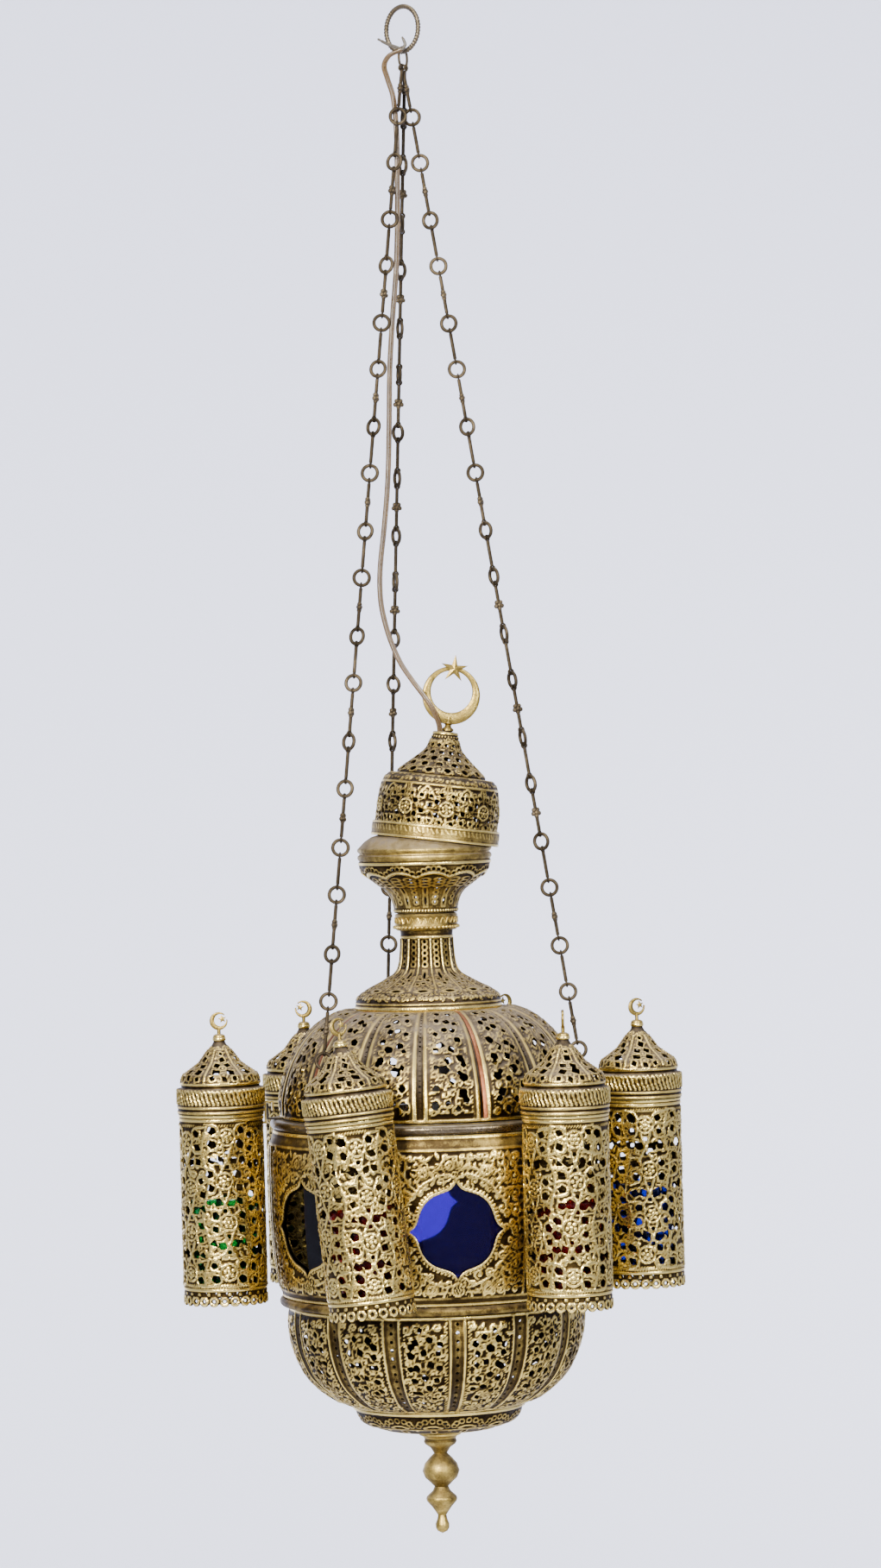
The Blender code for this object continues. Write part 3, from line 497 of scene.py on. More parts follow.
    def bead(self, x0, s0, radius, rise, web=None):
        web = radius if web is None else web
        found = self.patch(x0, x0, s0, s0, max(radius, web) + 1)
        if found is None:
            return
        spots, x, s, squeeze = found
        distance = np.hypot((x - x0) * squeeze, s - s0)
        self.swell(spots, distance, radius, rise)
        self.keep(spots, web - distance)

    def beads(self, points, radius, rise, pitch, web=None):
        """Row of beads along the points."""
        for x0, s0 in spaced(points, pitch):
            self.bead(x0, s0, radius, rise, web)

    def ring(self, x0, s0, radius, width, rise, filled=True):
        found = self.patch(x0, x0, s0, s0, radius + width + 1)
        if found is None:
            return
        spots, x, s, squeeze = found
        distance = np.hypot((x - x0) * squeeze, s - s0)
        self.swell(spots, np.abs(distance - radius), width, rise)
        if filled:
            self.keep(spots, radius + width - distance)
        else:
            self.keep(spots, width - np.abs(distance - radius))

    def hollow(self, x0, s0, radius, depth):
        """Broad round dish pressed into the sheet's form."""
        found = self.patch(x0, x0, s0, s0, radius + 1)
        if found is None:
            return
        spots, x, s, squeeze = found
        distance = np.hypot((x - x0) * squeeze, s - s0)
        self.form[spots] -= depth * np.clip(1.0 - (distance / radius) ** 2, 0.0, 1.0) ** 2

    def leaf(self, x0, s0, turn, length, width, rise):
        """Pointed leaf with a vein along its middle."""
        found = self.patch(x0, x0, s0, s0, length / 2 + 1)
        if found is None:
            return
        spots, x, s, squeeze = found
        angle = math.radians(turn)
        from_x, from_s = (x - x0) * squeeze, s - s0
        along = from_x * math.cos(angle) + from_s * math.sin(angle)
        across = -from_x * math.sin(angle) + from_s * math.cos(angle)
        half = width / 2 * np.clip(1.0 - (2 * along / length) ** 2, 0.0, 1.0)
        share = np.abs(across) / np.maximum(half, 0.05)
        height = rise * np.sqrt(np.clip(1.0 - share**2, 0.0, 1.0)) - 0.4 * rise * np.exp(
            -((across / 0.5) ** 2)
        )
        inside = share < 1
        self.relief[spots] = np.where(inside, np.maximum(self.relief[spots], height), self.relief[spots])
        self.keep(spots, half - np.abs(across))

    def hole(self, x0, s0, radius, sides=0, turn=0.0, rim=0.0, stretch=1.0):
        """Hole, round or with straight sides, with a raised rim if rim is its height."""
        found = self.patch(x0, x0, s0, s0, radius * max(stretch, 1.0) + 2.5)
        if found is None:
            return
        spots, x, s, squeeze = found
        angle = math.radians(turn)
        from_x, from_s = (x - x0) * squeeze, (s - s0)
        along = (from_x * math.cos(angle) + from_s * math.sin(angle)) / stretch
        across = -from_x * math.sin(angle) + from_s * math.cos(angle)
        if sides:
            edges = []
            for side in range(sides):
                facing = math.tau * (side + 0.5) / sides
                edges.append(along * math.cos(facing) + across * math.sin(facing))
            distance = np.maximum.reduce(edges) / math.cos(math.pi / sides) - radius
        else:
            distance = np.hypot(along, across) - radius
        self.cut[spots] = np.minimum(self.cut[spots], distance)
        if rim:
            self.swell(spots, np.abs(distance - 0.8), 1.0, rim)

    def rub(self, x0, half, s_low, s_high, level):
        """Sets how bare a plain strip down the sheet is."""
        found = self.patch(x0 - half, x0 + half, s_low, s_high, 0.0)
        if found is not None:
            spots = found[0]
            self.base[spots] = level

    def rub_rows(self, s_low, s_high, level):
        """Sets how bare a plain band round the sheet is."""
        self.base[(self.rows >= s_low) & (self.rows <= s_high)] = level

    def smooth_rows(self, s_low, s_high):
        """Takes the ornament off a band round the sheet."""
        rows = (self.rows >= s_low) & (self.rows <= s_high)
        self.relief[rows] = 0.0
        self.cut[rows] = 9.0

    def roll(self, s0, width, rise):
        """Half-round moulding round the sheet."""
        height = rise * np.sqrt(np.clip(1.0 - ((self.rows - s0) / width) ** 2, 0.0, 1.0))
        self.relief = np.maximum(self.relief, height[:, None])

    def pierce_rows(self, s_low, s_high):
        """Between these rows only the drawn ornament is metal."""
        depth = np.minimum(self.rows - s_low, s_high - self.rows)
        self.zone = np.maximum(self.zone, np.broadcast_to(depth[:, None], self.zone.shape))

    def solid(self):
        return np.minimum(np.maximum(self.web + self.grow, -self.zone), self.cut)

    def wear_and_shade(self, gain=0.85):
        """How far the relief stands above its surroundings: 0 in the hollows, 1 on the crests. Low values
        paint shade into the hollows along with patina, and high values are worn bare metal.
        """
        near = blurred(self.relief, 2, self.full)
        wide = blurred(self.relief, 6, self.full)
        level = self.base + gain * (self.relief - near) + 0.6 * gain * (self.relief - wide)
        return np.clip(level, 0.0, 1.0)


def spaced(points, pitch):
    """Points a pitch apart along a line."""
    line = np.array([point[:2] for point in points], float)
    steps = np.hypot(*np.diff(line, axis=0).T)
    far = np.concatenate([[0.0], np.cumsum(steps)])
    count = max(int(round(far[-1] / pitch)), 1)
    spots = np.linspace(0.0, far[-1], count + 1)
    return list(zip(np.interp(spots, far, line[:, 0]), np.interp(spots, far, line[:, 1])))


def curve(*points, count=10):
    """Smooth line through a few (x, s) points."""
    return [(p[0], p[1]) for p in smooth_line([(x, s, 0.0) for x, s in points], count)]


def mirrored(x0, s0, way, lift, points):
    """Points about a middle, turned over sideways by way = -1 and up by lift = -1."""
    return [(x0 + way * x, s0 + lift * s) for x, s in points]


def arc(x0, s0, radius, start, sweep, count=10):
    """Arc of (x, s) points; 0 degrees points along +x and 90 down."""
    line = []
    for step in range(count + 1):
        angle = math.radians(start + sweep * step / count)
        line.append((x0 + radius * math.cos(angle), s0 + radius * math.sin(angle)))
    return line


def scroll(x0, s0, radius, start, sweep, count=12):
    """Spiral that tightens to its middle."""
    line = []
    for step in range(count + 1):
        share = step / count
        angle = math.radians(start + sweep * share)
        reach = radius * (1.0 - 0.78 * share)
        line.append((x0 + reach * math.cos(angle), s0 + reach * math.sin(angle)))
    return line


def blurred(field, reach, wraps):
    """Mean over a box round each point."""
    mode = "wrap" if wraps else "edge"
    size = 2 * reach + 1
    padded = np.pad(field, ((reach, reach), (0, 0)), mode="edge")
    total = np.cumsum(np.vstack([np.zeros((1, padded.shape[1])), padded]), axis=0)
    field = (total[size:] - total[:-size]) / size
    padded = np.pad(field, ((0, 0), (reach, reach)), mode=mode)
    total = np.cumsum(np.hstack([np.zeros((padded.shape[0], 1)), padded]), axis=1)
    return (total[:, size:] - total[:, :-size]) / size


def between(first, second):
    """Where a line from a metal point to an open one crosses the edge, kept off both ends."""
    return np.clip(first / (first - second), 0.12, 0.88)


def sheet_mesh(name, skin, thickness=SHEET, inner_painted_shade=0.08):
    """Closed mesh of a skin: outer face, inner face a sheet's thickness behind, and hole edges. The inner
    face gets one low value, which paints it dark as painted shade.
    """
    solid = skin.solid()
    count = solid.shape[1]
    if skin.full:
        solid = np.hstack([solid, solid[:, :1]])
    wide = solid.shape[1]
    relief, wear_and_shade = skin.relief + skin.form, skin.wear_and_shade()
    tall = solid.shape[0]
    metal = solid > 0

    row_parts, column_parts, relief_parts, wear_and_shade_parts = [], [], [], []
    total = 0

    def number(mask):
        nonlocal total
        ids = np.full(mask.shape, -1, np.int64)
        found = int(mask.sum())
        ids[mask] = np.arange(total, total + found)
        total += found
        return ids

    node = number(metal[:, :count])
    i, j = np.nonzero(metal[:, :count])
    row_parts.append(i.astype(float))
    column_parts.append(j.astype(float))
    relief_parts.append(relief[i, j])
    wear_and_shade_parts.append(wear_and_shade[i, j])

    crossing = metal[:-1, :count] != metal[1:, :count]
    down = number(crossing)
    i, j = np.nonzero(crossing)
    share = between(solid[i, j], solid[i + 1, j])
    row_parts.append(i + share)
    column_parts.append(j.astype(float))
    relief_parts.append(relief[i, j] * (1 - share) + relief[i + 1, j] * share)
    wear_and_shade_parts.append(wear_and_shade[i, j] * (1 - share) + wear_and_shade[i + 1, j] * share)

    crossing = metal[:, :-1] != metal[:, 1:]
    side = number(crossing)
    i, j = np.nonzero(crossing)
    share = between(solid[i, j], solid[i, j + 1])
    after = (j + 1) % count
    row_parts.append(i.astype(float))
    column_parts.append(j + share)
    relief_parts.append(relief[i, j] * (1 - share) + relief[i, after] * share)
    wear_and_shade_parts.append(wear_and_shade[i, j] * (1 - share) + wear_and_shade[i, after] * share)

    row, column = np.concatenate(row_parts), np.concatenate(column_parts)
    raised, worn_and_shaded = np.concatenate(relief_parts), np.concatenate(wear_and_shade_parts)
    steps = np.arange(tall)
    radius, height = np.interp(row, steps, skin.radius), np.interp(row, steps, skin.height)
    out, up = np.interp(row, steps, skin.out), np.interp(row, steps, skin.up)
    angle = (skin.left + skin.step * column) / skin.reference
    places = []
    for depth in (raised, raised - thickness):
        reach = radius + out * depth
        places.append(
            np.stack([reach * np.sin(angle), -reach * np.cos(angle), height + up * depth], axis=1)
        )

    right = (np.arange(wide - 1) + 1) % count
    here = np.arange(wide - 1)
    slots = np.stack(
        [
            node[:-1][:, here], side[:-1], node[:-1][:, right], down[:, right],
            node[1:][:, right], side[1:], node[1:][:, here], down[:, here],
        ],
        axis=-1,
    ).reshape(-1, 8)
    corners = slots[:, ::2] >= 0
    code = corners @ np.array([1, 2, 4, 8])
    faces = []
    for kind in range(1, 16):
        chosen = slots[code == kind]
        if len(chosen) == 0:
            continue
        used = chosen[0] >= 0
        faces.append(chosen[:, used][:, ::-1])

    starts = np.concatenate([group.ravel() for group in faces])
    ends = np.concatenate([np.roll(group, -1, axis=1).ravel() for group in faces])
    forward, backward = starts * total + ends, ends * total + starts
    edge = ~np.isin(forward, backward)
    first, second = starts[edge], ends[edge]
    walls = np.stack([second, first, first + total, second + total], axis=1)

    mesh = bpy.data.meshes.new(name)
    polygons = []
    for group in faces:
        polygons += group.tolist()
        polygons += (group[:, ::-1] + total).tolist()
    polygons += walls.tolist()
    mesh.from_pydata((np.concatenate(places) * MM).tolist(), [], polygons)
    # Inner face: one low value, painted shade for the inside of the sheet.
    values = np.concatenate([worn_and_shaded, np.full(total, inner_painted_shade)]).astype(np.float32)
    attribute = mesh.attributes.new("wear_and_shade", "FLOAT", "POINT")
    attribute.data.foreach_set("value", values)
    mesh.validate()
    mesh.shade_smooth()
    mesh.set_sharp_from_angle(angle=math.radians(SOFT_ANGLE))
    return mesh


def show(name, mesh, look, body, nodes=(), matrix=None):
    """Puts a mesh in the scene as a piece that rides on a body and stands for CAD nodes."""
    piece = bpy.data.objects.new(name, mesh)
    material = MATERIALS[look]
    if not mesh.materials:
        mesh.materials.append(material)
    piece.material_slots[0].link = "OBJECT"
    piece.material_slots[0].material = material
    bpy.context.scene.collection.objects.link(piece)
    if matrix is not None:
        piece.matrix_world = matrix
    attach(piece, body)
    if nodes:
        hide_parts(*nodes)
    return piece


# ---------------------------------------------------------------- turned, swept and flat solids


# Writes the attribute that holds wear together with painted shade.
def add_wear_and_shade(mesh, values):
    attribute = mesh.attributes.new("wear_and_shade", "FLOAT", "POINT")
    if isinstance(values, float):
        values = np.full(len(mesh.vertices), values, np.float32)
    attribute.data.foreach_set("value", np.asarray(values, np.float32))


def turned(name, section, segments=48, wear_and_shade=0.6, smooth_angle=40.0):
    """Solid of revolution of a closed (radius, height) section."""
    places, ids = [], []
    centre = {}
    for index in range(segments):
        column = []
        for number, (radius, height) in enumerate(section):
            if radius <= 1e-6:
                if number not in centre:
                    centre[number] = len(places)
                    places.append((0.0, 0.0, height))
                column.append(centre[number])
            else:
                column.append(len(places))
                places.append(tuple(around(radius, 360 * index / segments, height)))
        ids.append(column)
    faces = []
    for index in range(segments):
        here, there = ids[index], ids[(index + 1) % segments]
        for low in range(len(section)):
            high = (low + 1) % len(section)
            corners = list(dict.fromkeys([here[low], here[high], there[high], there[low]]))
            if len(corners) > 2:
                faces.append(corners)
    return closed_mesh(name, places, faces, wear_and_shade, smooth_angle)


def closed_mesh(name, places, faces, wear_and_shade=0.6, smooth_angle=40.0):
    mesh = bpy.data.meshes.new(name)
    mesh.from_pydata([tuple(c * MM for c in place) for place in places], [], faces)
    builder = bmesh.new()
    builder.from_mesh(mesh)
    bmesh.ops.recalc_face_normals(builder, faces=builder.faces)
    builder.to_mesh(mesh)
    builder.free()
    add_wear_and_shade(mesh, wear_and_shade)
    mesh.shade_smooth()
    mesh.set_sharp_from_angle(angle=math.radians(smooth_angle))
    return mesh


class Solid:
    """Gathers several closed shapes in one mesh, in millimetres."""

    def __init__(self):
        self.places, self.faces, self.wear_and_shade = [], [], []

    def grid(self, rings, wear_and_shade=0.6, closed_ends=True, loop=False):
        """Skin over rings of points; each ring has the same count."""
        first = len(self.places)
        size = len(rings[0])
        for ring in rings:
            for point in ring:
                self.places.append(tuple(point))
                self.wear_and_shade.append(wear_and_shade)
        last = len(rings) if loop else len(rings) - 1
        for index in range(last):
            low, high = first + index * size, first + (index + 1) % len(rings) * size
            for corner in range(size):
                after = (corner + 1) % size
                self.faces.append((low + corner, low + after, high + after, high + corner))
        if closed_ends and not loop:
            self.faces.append(tuple(first + corner for corner in range(size)))
            self.faces.append(tuple(first + (len(rings) - 1) * size + corner for corner in range(size)))

    def wire(self, line, radius, sides=8, wear_and_shade=0.6, loop=False, flat=1.0, facing=None):
        """Round wire along a line of points; flat squashes it along facing."""
        line = [Vector(point) for point in line]
        rings = []
        count = len(line)
        up = None
        for index, point in enumerate(line):
            before = line[index - 1] if index or loop else point
            after = line[(index + 1) % count] if index < count - 1 or loop else point
            run = (after - before).normalized()
            if up is None:
                up = facing or (Vector((0, 0, 1)) if abs(run.z) < 0.9 else Vector((1, 0, 0)))
            up = (up - run * up.dot(run)).normalized()
            side = run.cross(up)
            size = radius(index / (count - 1)) if callable(radius) else radius
            ring = []
            for corner in range(sides):
                angle = math.tau * corner / sides
                ring.append(point + up * (math.cos(angle) * size * flat) + side * (math.sin(angle) * size))
            rings.append(ring)
        self.grid(rings, wear_and_shade, loop=loop)

    def ring(self, centre, axis_a, axis_b, radius, wire, segments=20, sides=8, wear_and_shade=0.6):
        """Ring of round wire in the plane of two axes."""
        centre = Vector(centre)
        line = []
        for index in range(segments):
            angle = math.tau * index / segments
            line.append(centre + axis_a * (radius * math.cos(angle)) + axis_b * (radius * math.sin(angle)))
        self.wire(line, wire, sides, wear_and_shade, loop=True, facing=axis_a.cross(axis_b))

    def ball(self, centre, radius, wear_and_shade=0.7, rings=6, sides=8, stretch=(1.0, 1.0, 1.0)):
        centre = Vector(centre)
        loops = []
        for row in range(1, rings):
            tilt = math.pi * row / rings
            loop = []
            for corner in range(sides):
                angle = math.tau * corner / sides
                spoke = Vector((
                    math.sin(tilt) * math.cos(angle) * stretch[0],
                    math.sin(tilt) * math.sin(angle) * stretch[1],
                    math.cos(tilt) * stretch[2],
                ))
                loop.append(centre + spoke * radius)
            loops.append(loop)
        self.grid(loops, wear_and_shade)

    def mesh(self, name, smooth_angle=40.0):
        return closed_mesh(name, self.places, self.faces, self.wear_and_shade, smooth_angle)


# ---------------------------------------------------------------- ornament


def flower(skin, x0, s0, size, petals=6, turn=0.0, beaded=True):
    """Rosette: a knob, petals round it and a beaded ring outside."""
    squeeze = skin.squeeze_at(s0)
    skin.keep_disc(x0, s0, size * 0.42)
    skin.clear_disc(x0, s0, size * 0.98)
    for petal in range(petals):
        angle = math.radians(turn + 360 * petal / petals)
        x, s = x0 + 0.45 * size * math.cos(angle) / squeeze, s0 + 0.45 * size * math.sin(angle)
        skin.bead(x, s, 0.24 * size, 1.5)
    skin.bead(x0, s0, size * 0.22, 1.9)
    ring_line = [(x0 + (p[0] - x0) / squeeze, p[1]) for p in arc(x0, s0, size * 0.86, 0, 360, 24)]
    skin.stroke(ring_line, 1.15, 1.2)
    if beaded:
        skin.beads(ring_line, 0.9, 1.9, 2.6)


def vine(skin, points, width=1.5, rise=0.8, beaded=False, pitch=2.2):
    skin.stroke(points, width, rise)
    if beaded:
        skin.beads(points, width * 0.8, rise + 0.5, pitch, web=width)


def rope_line(skin, s0, pitch, length=1.9, width=1.0, rise=0.9):
    """Slanting strokes side by side, like a twisted cord round the sheet."""
    for x0 in skin.spots(int(round(skin.width / pitch))):
        skin.stroke([(x0 - 0.6, s0 - length / 2), (x0 + 0.6, s0 + length / 2)], width, rise)


def bead_line(skin, s0, pitch, radius=1.0, rise=0.9):
    for x0 in skin.spots(int(round(skin.width / pitch))):
        skin.bead(x0, s0, radius, rise)


def filigree(skin, rng, x_low, x_high, s_low, s_high, pitch, allowed, rise=0.9, width=0.85):
    """Close ground of small scrolls, leaves and beads wherever allowed."""
    rows = max(int((s_high - s_low) / pitch), 1)
    for row in range(rows):
        s0 = s_low + (row + 0.5) * (s_high - s_low) / rows
        squeeze = skin.squeeze_at(s0)
        count = max(int((x_high - x_low) * squeeze / pitch), 1)
        for index in range(count):
            x1 = x_low + (index + 0.5 * (row % 2) + 0.25) * (x_high - x_low) / count
            x1 += rng.uniform(-0.2, 0.2) * pitch / squeeze
            s1 = s0 + rng.uniform(-0.2, 0.2) * pitch
            if not allowed(x1, s1):
                continue
            kind = rng.random()
            if kind < 0.62:
                way = 1 if rng.random() < 0.5 else -1
                line = scroll(0.0, 0.0, pitch * rng.uniform(0.48, 0.66), rng.uniform(0, 360), way * 400)
                skin.stroke([(x1 + px / squeeze, s1 + ps) for px, ps in line], width, rise)
                skin.bead(x1, s1, 0.95, rise + 0.25)
            elif kind < 0.86:
                skin.leaf(x1, s1, rng.uniform(0, 180), pitch * 1.25, pitch * 0.5, rise)
            else:
                skin.ring(x1, s1, pitch * 0.30, 0.8, rise)
                skin.bead(x1, s1, 1.0, rise + 0.2)


def anywhere(x, s):
    return True


def filigree_band(skin, rng, s_low, s_high, pitch, rise, width, allowed=anywhere):
    """Filigree all round the sheet between two distances down it."""
    filigree(skin, rng, skin.left, skin.left + skin.width, s_low, s_high, pitch, allowed, rise, width)


def dent(skin, rng, count=26, depth=0.35, reach=14.0):
    """Faint dents of an old hand-worked sheet."""
    low, high = skin.rows[0], skin.rows[-1]
    for _ in range(count):
        x0, s0 = skin.left + rng.uniform(0, skin.width), rng.uniform(low, high)
        skin.hollow(x0, s0, reach * rng.uniform(0.6, 1.3), depth * rng.uniform(-1.0, 1.0))


# ---------------------------------------------------------------- rings, chains and hooks


def rope_torus(radius, wire, segments, sides, strands, turns):
    """Ring about Z whose wire is twisted like a rope."""
    solid = Solid()
    rings = []
    for index in range(segments):
        turn = math.tau * index / segments
        ring = []
        for side in range(sides):
            angle = math.tau * side / sides
            lobe = 0.5 + 0.5 * math.cos(strands * angle - turns * turn)
            reach = wire * (0.78 + 0.24 * lobe)
            r = radius + reach * math.cos(angle)
            ring.append(Vector((r * math.cos(turn), r * math.sin(turn), reach * math.sin(angle))))
        rings.append(ring)
    solid.grid(rings, 0.62, loop=True)
    return solid


HANGING_RADIUS = 18.85
HANGING_HEIGHT = -16.7
HANGING_TURN = -53.0
COLLECTOR_RADIUS = 8.8
COLLECTOR_HEIGHT = -40.7
COLLECTOR_TURN = 60.0
HOOK_RADIUS = 127.5
HOOK_HEIGHT = -876.0
PLAIN_BAR = 38.2
ROSETTE_BAR = 48.0


def build_rings():
    ring = rope_torus(HANGING_RADIUS, 2.15, 300, 14, 2, 46)
    place = placed((0, 0, HANGING_HEIGHT), (90, 0, HANGING_TURN))
    show("rope_ring", ring.mesh("rope_ring"), "ring", "hanger", ("hanging_ring",), place)
    wire = rope_torus(COLLECTOR_RADIUS, 1.2, 64, 12, 1, 0)
    place = placed((0, 0, COLLECTOR_HEIGHT), (90, 0, COLLECTOR_TURN))
    show("collector_wire", wire.mesh("collector_wire"), "chain", "collector",
         ("collector_ring",), place)


def knot(solid, centre, down, side, face):
    """Rosette of five knobs round a middle one, on both sides of a bar."""
    for knob in range(5):
        angle = math.radians(90 + 72 * knob)
        spot = centre + down * (2.75 * math.sin(angle)) + side * (2.75 * math.cos(angle))
        solid.ball(spot, 2.05, 0.58)
    solid.ball(centre + face * 0.8, 1.9, 0.64)
    solid.ball(centre - face * 0.8, 1.9, 0.64)


def turned_about(axis, vector, degrees):
    return Matrix.Rotation(math.radians(degrees), 3, axis) @ vector


def build_chain(side_name, turn, step, rolls):
    """Chain from the collector ring to its hook; rolls are the turns of its rings about the chain."""
    collector_turn = math.radians(COLLECTOR_TURN)
    along = Vector((math.cos(collector_turn), math.sin(collector_turn), 0.0))
    drop = math.sqrt(COLLECTOR_RADIUS**2 - step**2)
    start = along * step + Vector((0, 0, COLLECTOR_HEIGHT - drop))
    hook_eye = around(HOOK_RADIUS, turn, HOOK_HEIGHT)
    end = hook_eye + Vector((0, 0, -0.19))
    down = (end - start).normalized()
    base = Vector((1, 0, 0))
    base = (base - down * base.dot(down)).normalized()
    radius, wire = 6.4, 1.5
    pitches = [41.0] + [ROSETTE_BAR if number % 2 else PLAIN_BAR for number in range(18)]
    stretch = ((end - start).length - radius) / sum(pitches)
    solid = Solid()

    eye_side = along.cross(Vector((0, 0, -1)))
    solid.ring(start + Vector((0, 0, -0.12)), Vector((0, 0, -1)), eye_side, 2.6, 0.75, 20, 8, 0.45)
    below = start + Vector((0, 0, -0.12)) + Vector((0, 0, -1)) * 2.6
    travelled = 0.0
    for number, pitch in enumerate(pitches):
        travelled += pitch * stretch
        centre = start + down * travelled
        roll = 0.0 if number == len(pitches) - 1 else rolls[number % len(rolls)]
        side = turned_about(down, base, roll)
        face = down.cross(side)
        solid.ring(centre, down, side, radius, wire, 26, 10, 0.50)
        if number == 0:
            before_face = face
        upper_eye = centre - down * (radius + 0.15)
        solid.ring(upper_eye, down, face, 2.2, 0.85, 16, 7, 0.40)
        bar_end = upper_eye - down * 2.2
        solid.wire([below, below.lerp(bar_end, 0.5), bar_end], 1.5, 8, 0.40)
        for spot in (below.lerp(bar_end, 0.03), below.lerp(bar_end, 0.97)):
            solid.ball(spot, 1.55, 0.4)
        if pitch != PLAIN_BAR:
            knot(solid, below.lerp(bar_end, 0.5), down, before_face, down.cross(before_face))
        lower_eye = centre + down * (radius + 0.15)
        if number < len(pitches) - 1:
            solid.ring(lower_eye, down, face, 2.2, 0.85, 16, 7, 0.40)
        below = lower_eye + down * 2.2
        before_face = face
    name = f"chain_{side_name}_links"
    show(name, solid.mesh(name), "chain", "lantern",
         (f"chain_{side_name}_upper", f"chain_{side_name}_lower"))

    hook = Solid()
    hook.ring(hook_eye, Vector((0, 0, -1)), Vector((0, 1, 0)), 3.4, 1.0, 24, 9, 0.5)
    foot = around(HOOK_RADIUS, turn, -921.3)
    shank = [hook_eye + Vector((0, 0, -3.6)), foot + Vector((0, 0, 2.2)), foot + Vector((0, 0, 1.0))]
    hook.wire(shank, 1.05, 10, 0.42)
    hook.wire([foot + Vector((0, 0, 1.7)), foot + Vector((0, 0, 0.9)), foot], 1.7, 14, 0.5)
    hook.ball(hook_eye + Vector((0, 0, -5.4)), 1.7, 0.5)
    name = f"hook_{side_name}"
    show(name, hook.mesh(name), "chain", "lantern", (f"chain_hook_{side_name}",))


def build_chains():
    build_chain("right", 69.0, 0.0, (20, 8, 35, 15, 28, 10, 40, 25, 55, 68, 78, 72, 80, 66, 40, 20, 10, 5))
    build_chain("back", 189.0, 3.2, (85, 72, 90, 66, 80, 88, 60, 78, 70, 84, 62, 50, 75, 40, 30, 15, 22, 8))
    build_chain(
        "left", 309.0, -3.2, (12, 38, 20, 45, 8, 30, 50, 18, 35, 10, 42, 25, 55, 30, 12, 20, 36, 14)
    )


# ---------------------------------------------------------------- cap, crescent and star


def crescent_solid(radius, hole, rise, gap, thickness, steps, wear_and_shade=0.66):
    """Crescent in the XZ plane with softly domed sides; its horns end beside the top."""
    solid = Solid()
    rings = []
    for step in range(steps + 1):
        turn = math.radians(gap + (360 - 2 * gap) * step / steps)
        outer = Vector((radius * math.sin(turn), 0, radius * math.cos(turn)))
        inner = Vector((hole * math.sin(turn), 0, rise + hole * math.cos(turn)))
        ring = []
        for share, depth in ((0.0, 0.55), (0.12, 0.9), (0.5, 1.0), (0.88, 0.9), (1.0, 0.55)):
            ring.append(inner.lerp(outer, share) + Vector((0, -depth * thickness / 2, 0)))
        for share, depth in ((1.0, 0.55), (0.88, 0.9), (0.5, 1.0), (0.12, 0.9), (0.0, 0.55)):
            ring.append(inner.lerp(outer, share) + Vector((0, depth * thickness / 2, 0)))
        rings.append(ring)
    solid.grid(rings, wear_and_shade)
    return solid


def star_shape(solid, centre, reach, waist, edge, peak):
    """Five-pointed star in the XZ plane, with a ridge along every arm on both sides."""
    rim = []
    for point in range(10):
        angle = math.radians(36 * point)
        size = reach if point % 2 == 0 else waist
        rim.append(Vector((size * math.sin(angle), 0.0, size * math.cos(angle))))
    first = len(solid.places)
    for depth in (-edge, edge):
        for point in rim:
            solid.places.append(tuple(centre + point + Vector((0, depth, 0))))
            solid.wear_and_shade.append(0.6)
    for depth in (-peak, peak):
        solid.places.append(tuple(centre + Vector((0, depth, 0))))
        solid.wear_and_shade.append(0.8)
    for point in range(10):
        after = (point + 1) % 10
        solid.faces.append((first + point, first + after, first + 10 + after, first + 10 + point))
        solid.faces.append((first + point, first + after, first + 20))
        solid.faces.append((first + 10 + point, first + 10 + after, first + 21))


